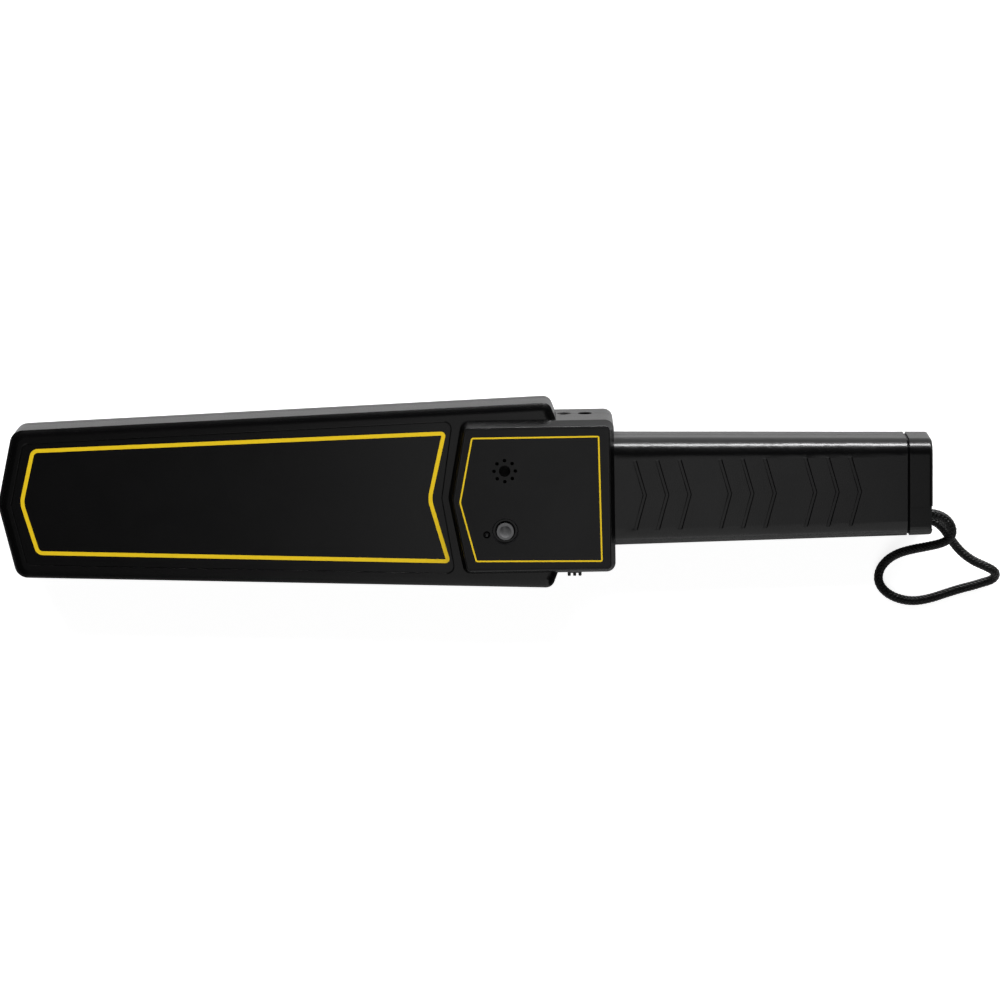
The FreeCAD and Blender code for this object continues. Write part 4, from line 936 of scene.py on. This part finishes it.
cloth, tree, shader = new_finish("dust_cloth", (0.004, 0.004, 0.004), 0.9)
_, split = places(tree)
warp, weft = (maths(tree, "SINE", maths(tree, "MULTIPLY", split[axis], turns_a_metre)) for axis in (0, 1))
weave = maths(tree, "MULTIPLY_ADD", maths(tree, "MULTIPLY", warp, weft), 0.5)
feed(shader, "Base Color", two_colors(tree, weave, (0.002, 0.002, 0.002), (0.010, 0.010, 0.010)))
feed(shader, "Roughness", faded(tree, weave, 0.0, 1.0, 0.95, 0.8))
raised(tree, shader, weave, 0.06)
screen.data.materials.append(cloth)
print("cloth on", screen.name)

# %% Wire insulation and enamelled copper


def insulation(name, color):
    """Soft vinyl: a waxy gloss with faint extrusion lines along the wire."""
    material, tree, shader = new_finish(name, color, 0.4)
    along = add(tree, "Mapping", {"Vector": add(tree, "TexCoord").outputs["UV"], "Scale": (0.4, 18.0, 1.0)}).outputs[0]
    lines = noise(tree, along, 1.0, 2.0)
    feed(shader, "Base Color", two_colors(tree, lines, tuple(c * 0.75 for c in color), color))
    feed(shader, "Roughness", faded(tree, lines, 0.3, 0.7, 0.34, 0.48))
    raised(tree, shader, lines, 0.01)
    return material


red_wire = insulation("red_insulation", (0.50, 0.012, 0.010))
black_wire = insulation("black_insulation", (0.014, 0.014, 0.015))
for name, piece in lead_pieces.items():
    mesh = piece.data
    mesh.materials.append(black_wire)
    if name != "coil_cable":
        mesh.materials.append(red_wire)
        half = len(mesh.polygons) // 2
        for face in mesh.polygons:
            face.material_index = 1 if face.index < half else 0
print("insulation on", len(lead_pieces), "leads")

enamel, tree, shader = new_finish("enamelled_copper", (0.62, 0.20, 0.07), 0.28, 1.0)
shader.inputs["Coat Weight"].default_value = 0.5
shader.inputs["Coat Roughness"].default_value = 0.12
where, _ = places(tree)
patches = noise(tree, where, 130.0, 4.0)
feed(shader, "Base Color", two_colors(tree, patches, (0.50, 0.14, 0.045), (0.74, 0.29, 0.11)))
feed(shader, "Roughness", faded(tree, patches, 0.3, 0.7, 0.22, 0.36))
coil.data.materials.append(enamel)
print("enamel on", coil.name)

# %% [markdown]
# ## Printed frames of the labels
#
# Each label carries a yellow outline, screen printed, that follows the label's own shape. A printed line is a film
# of ink with a thickness of its own, so it is modelled: a flat outline gets rounded corners, an inset leaves a band
# of one width, and the band is raised by the thickness of the ink.

# %% Printed outlines
ink_height = 0.04 * MM


def printed_frame(name, corners, level, line, rounding):
    """A band of ink along an outline, at the level of the label's face."""
    piece = flat_outline(name, corners, level, rounding, 8)
    bpy.ops.mesh.inset(thickness=line * MM, use_even_offset=True)
    bpy.ops.mesh.delete(type="FACE")
    bpy.ops.mesh.select_all(action="SELECT")
    bpy.ops.mesh.extrude_region_move(TRANSFORM_OT_translate={"value": (0, 0, ink_height)})
    bpy.ops.mesh.select_all(action="SELECT")
    bpy.ops.mesh.normals_make_consistent(inside=False)
    bpy.ops.object.mode_set(mode="OBJECT")
    print(name, "has", len(piece.data.polygons), "faces")
    return piece


paddle_frame = printed_frame(
    "paddle_frame",
    [(-189.3, 24.65), (-195.2, 0.92), (-188.6, -22.4), (-6.75, -29.2), (-14.65, -0.5), (-7.6, 29.45)],
    32.9, 1.72, 2.6,
)
control_frame = printed_frame(
    "control_frame",
    [(3.3, 27.54), (-2.43, -1.1), (4.27, -27.56), (59.74, -28.34), (59.04, 27.5)],
    39.9, 0.68, 0.8,
)
for piece in (paddle_frame, control_frame):
    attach(piece, "housing")

# %% Yellow ink
ink, tree, shader = new_finish("yellow_ink", (0.72, 0.49, 0.006), 0.42)
where, _ = places(tree)
marks = place_group(tree, handling_marks, {"Vector": where, "Roughness": 0.42, "Amount": 0.06})
patches = noise(tree, where, 900.0, 3.0)
feed(shader, "Base Color", two_colors(tree, patches, (0.68, 0.46, 0.004), (0.78, 0.54, 0.008)))
feed(shader, "Roughness", marks.outputs["Roughness"])
raised(tree, shader, patches, 0.004)
for piece in (paddle_frame, control_frame):
    piece.data.materials.append(ink)
print("ink on both frames")

# %% [markdown]
# ## Floor and light
#
# The wand lies on a plain white table. The white of the picture comes from the floor itself: its material adds some
# light of its own for the camera, a little for reflections, and it still takes the shadow of the wand.
#
# Black plastic is drawn by what it reflects. A low, narrow soft box on the sockets' side makes the bright line along
# the rounded edge of the grip. It stands beside the grip only, so the rim of the paddle stays black. A dim box
# overhead gives the flat faces their slight grey, and another one on the far side does so along the grip's lower
# edge. The lamps that light the colours are hidden from reflections.

# %% Floor
table_white = 0.62
table_glow_seen = 0.85
table_glow_mirrored = 0.02

bpy.ops.object.select_all(action="DESELECT")
bpy.ops.mesh.primitive_plane_add(size=24, location=(0, 0, 0))
floor = bpy.context.object
floor.name = "floor"
floor_paint = bpy.data.materials.new("white_table")
floor_paint.use_nodes = True
tree = floor_paint.node_tree
tree.nodes.clear()
rays = add(tree, "LightPath").outputs
seen = maths(tree, "MULTIPLY", rays["Is Camera Ray"], table_glow_seen)
mirrored = maths(tree, "MAXIMUM", rays["Is Glossy Ray"], rays["Is Transmission Ray"])
share = maths(tree, "MAXIMUM", seen, maths(tree, "MULTIPLY", mirrored, table_glow_mirrored))
glow = add(tree, "Emission", {"Strength": share})
paint = add(tree, "BsdfDiffuse", {"Color": (table_white, table_white, table_white, 1)})
both = add(tree, "AddShader", {0: paint.outputs[0], 1: glow.outputs[0]})
add(tree, "OutputMaterial", {"Surface": both.outputs[0]})
floor.data.materials.append(floor_paint)
print("floor is", [round(v, 1) for v in floor.dimensions], "m")

# %% World: pale backdrop near the horizon, dark above, slightly lighter at the top
horizon, sky, zenith = 0.85, 0.016, 0.056

world = bpy.data.worlds.new("studio")
bpy.context.scene.world = world
world.use_nodes = True
tree = world.node_tree
tree.nodes.clear()
height = add(tree, "SeparateXYZ", {0: add(tree, "TexCoord").outputs["Generated"]}).outputs["Z"]
walls = add(tree, "MapRange", {
    "Value": height, "From Min": 0.06, "From Max": 0.22, "To Min": horizon, "To Max": sky,
}, interpolation_type="SMOOTHSTEP").outputs["Result"]
ceiling = add(tree, "MapRange", {
    "Value": height, "From Min": 0.93, "From Max": 1.0, "To Min": 0.0, "To Max": zenith,
}, interpolation_type="SMOOTHSTEP").outputs["Result"]
shine = add(tree, "Background", {"Strength": maths(tree, "ADD", walls, ceiling)})
add(tree, "OutputWorld", {"Surface": shine.outputs[0]})
print("world runs from", horizon, "to", sky, "and up to", zenith)

# %% Lamps


def soft_box(name, place, wide, tall, power, seen_in_gloss=True):
    """An area lamp that faces the wand, its place in metres."""
    place = Vector(place)
    light = bpy.data.lights.new(name, "AREA")
    light.shape = "RECTANGLE"
    light.size, light.size_y, light.energy = wide, tall, power
    lamp = bpy.data.objects.new(name, light)
    lamp.location = place
    lamp.rotation_euler = Vector((0, place.y, place.z)).to_track_quat("Z", "Y").to_euler()
    lamp.visible_camera = False
    lamp.visible_glossy = seen_in_gloss
    bpy.context.scene.collection.objects.link(lamp)
    print(name, "gives", power, "W from", [round(v, 2) for v in place])
    return lamp


soft_box("grip_strip", (0.82, 2.0, 0.38), 1.5, 0.34, 57)
soft_box("overhead", (0.15, -0.25, 2.0), 0.46, 1.1, 1.0)
soft_box("far_box", (0.3, -1.65, 1.22), 0.9, 2.6, 4.8)
soft_box("side_fill", (0, 2.0, 1.25), 2.8, 1.2, 80, seen_in_gloss=False)
soft_box("back_fill", (0, -1.2, 2.1), 2.6, 1.6, 10, seen_in_gloss=False)

# %% Picture settings
scene = bpy.context.scene
scene.view_settings.view_transform = "Standard"
print("view transform is", scene.view_settings.view_transform)
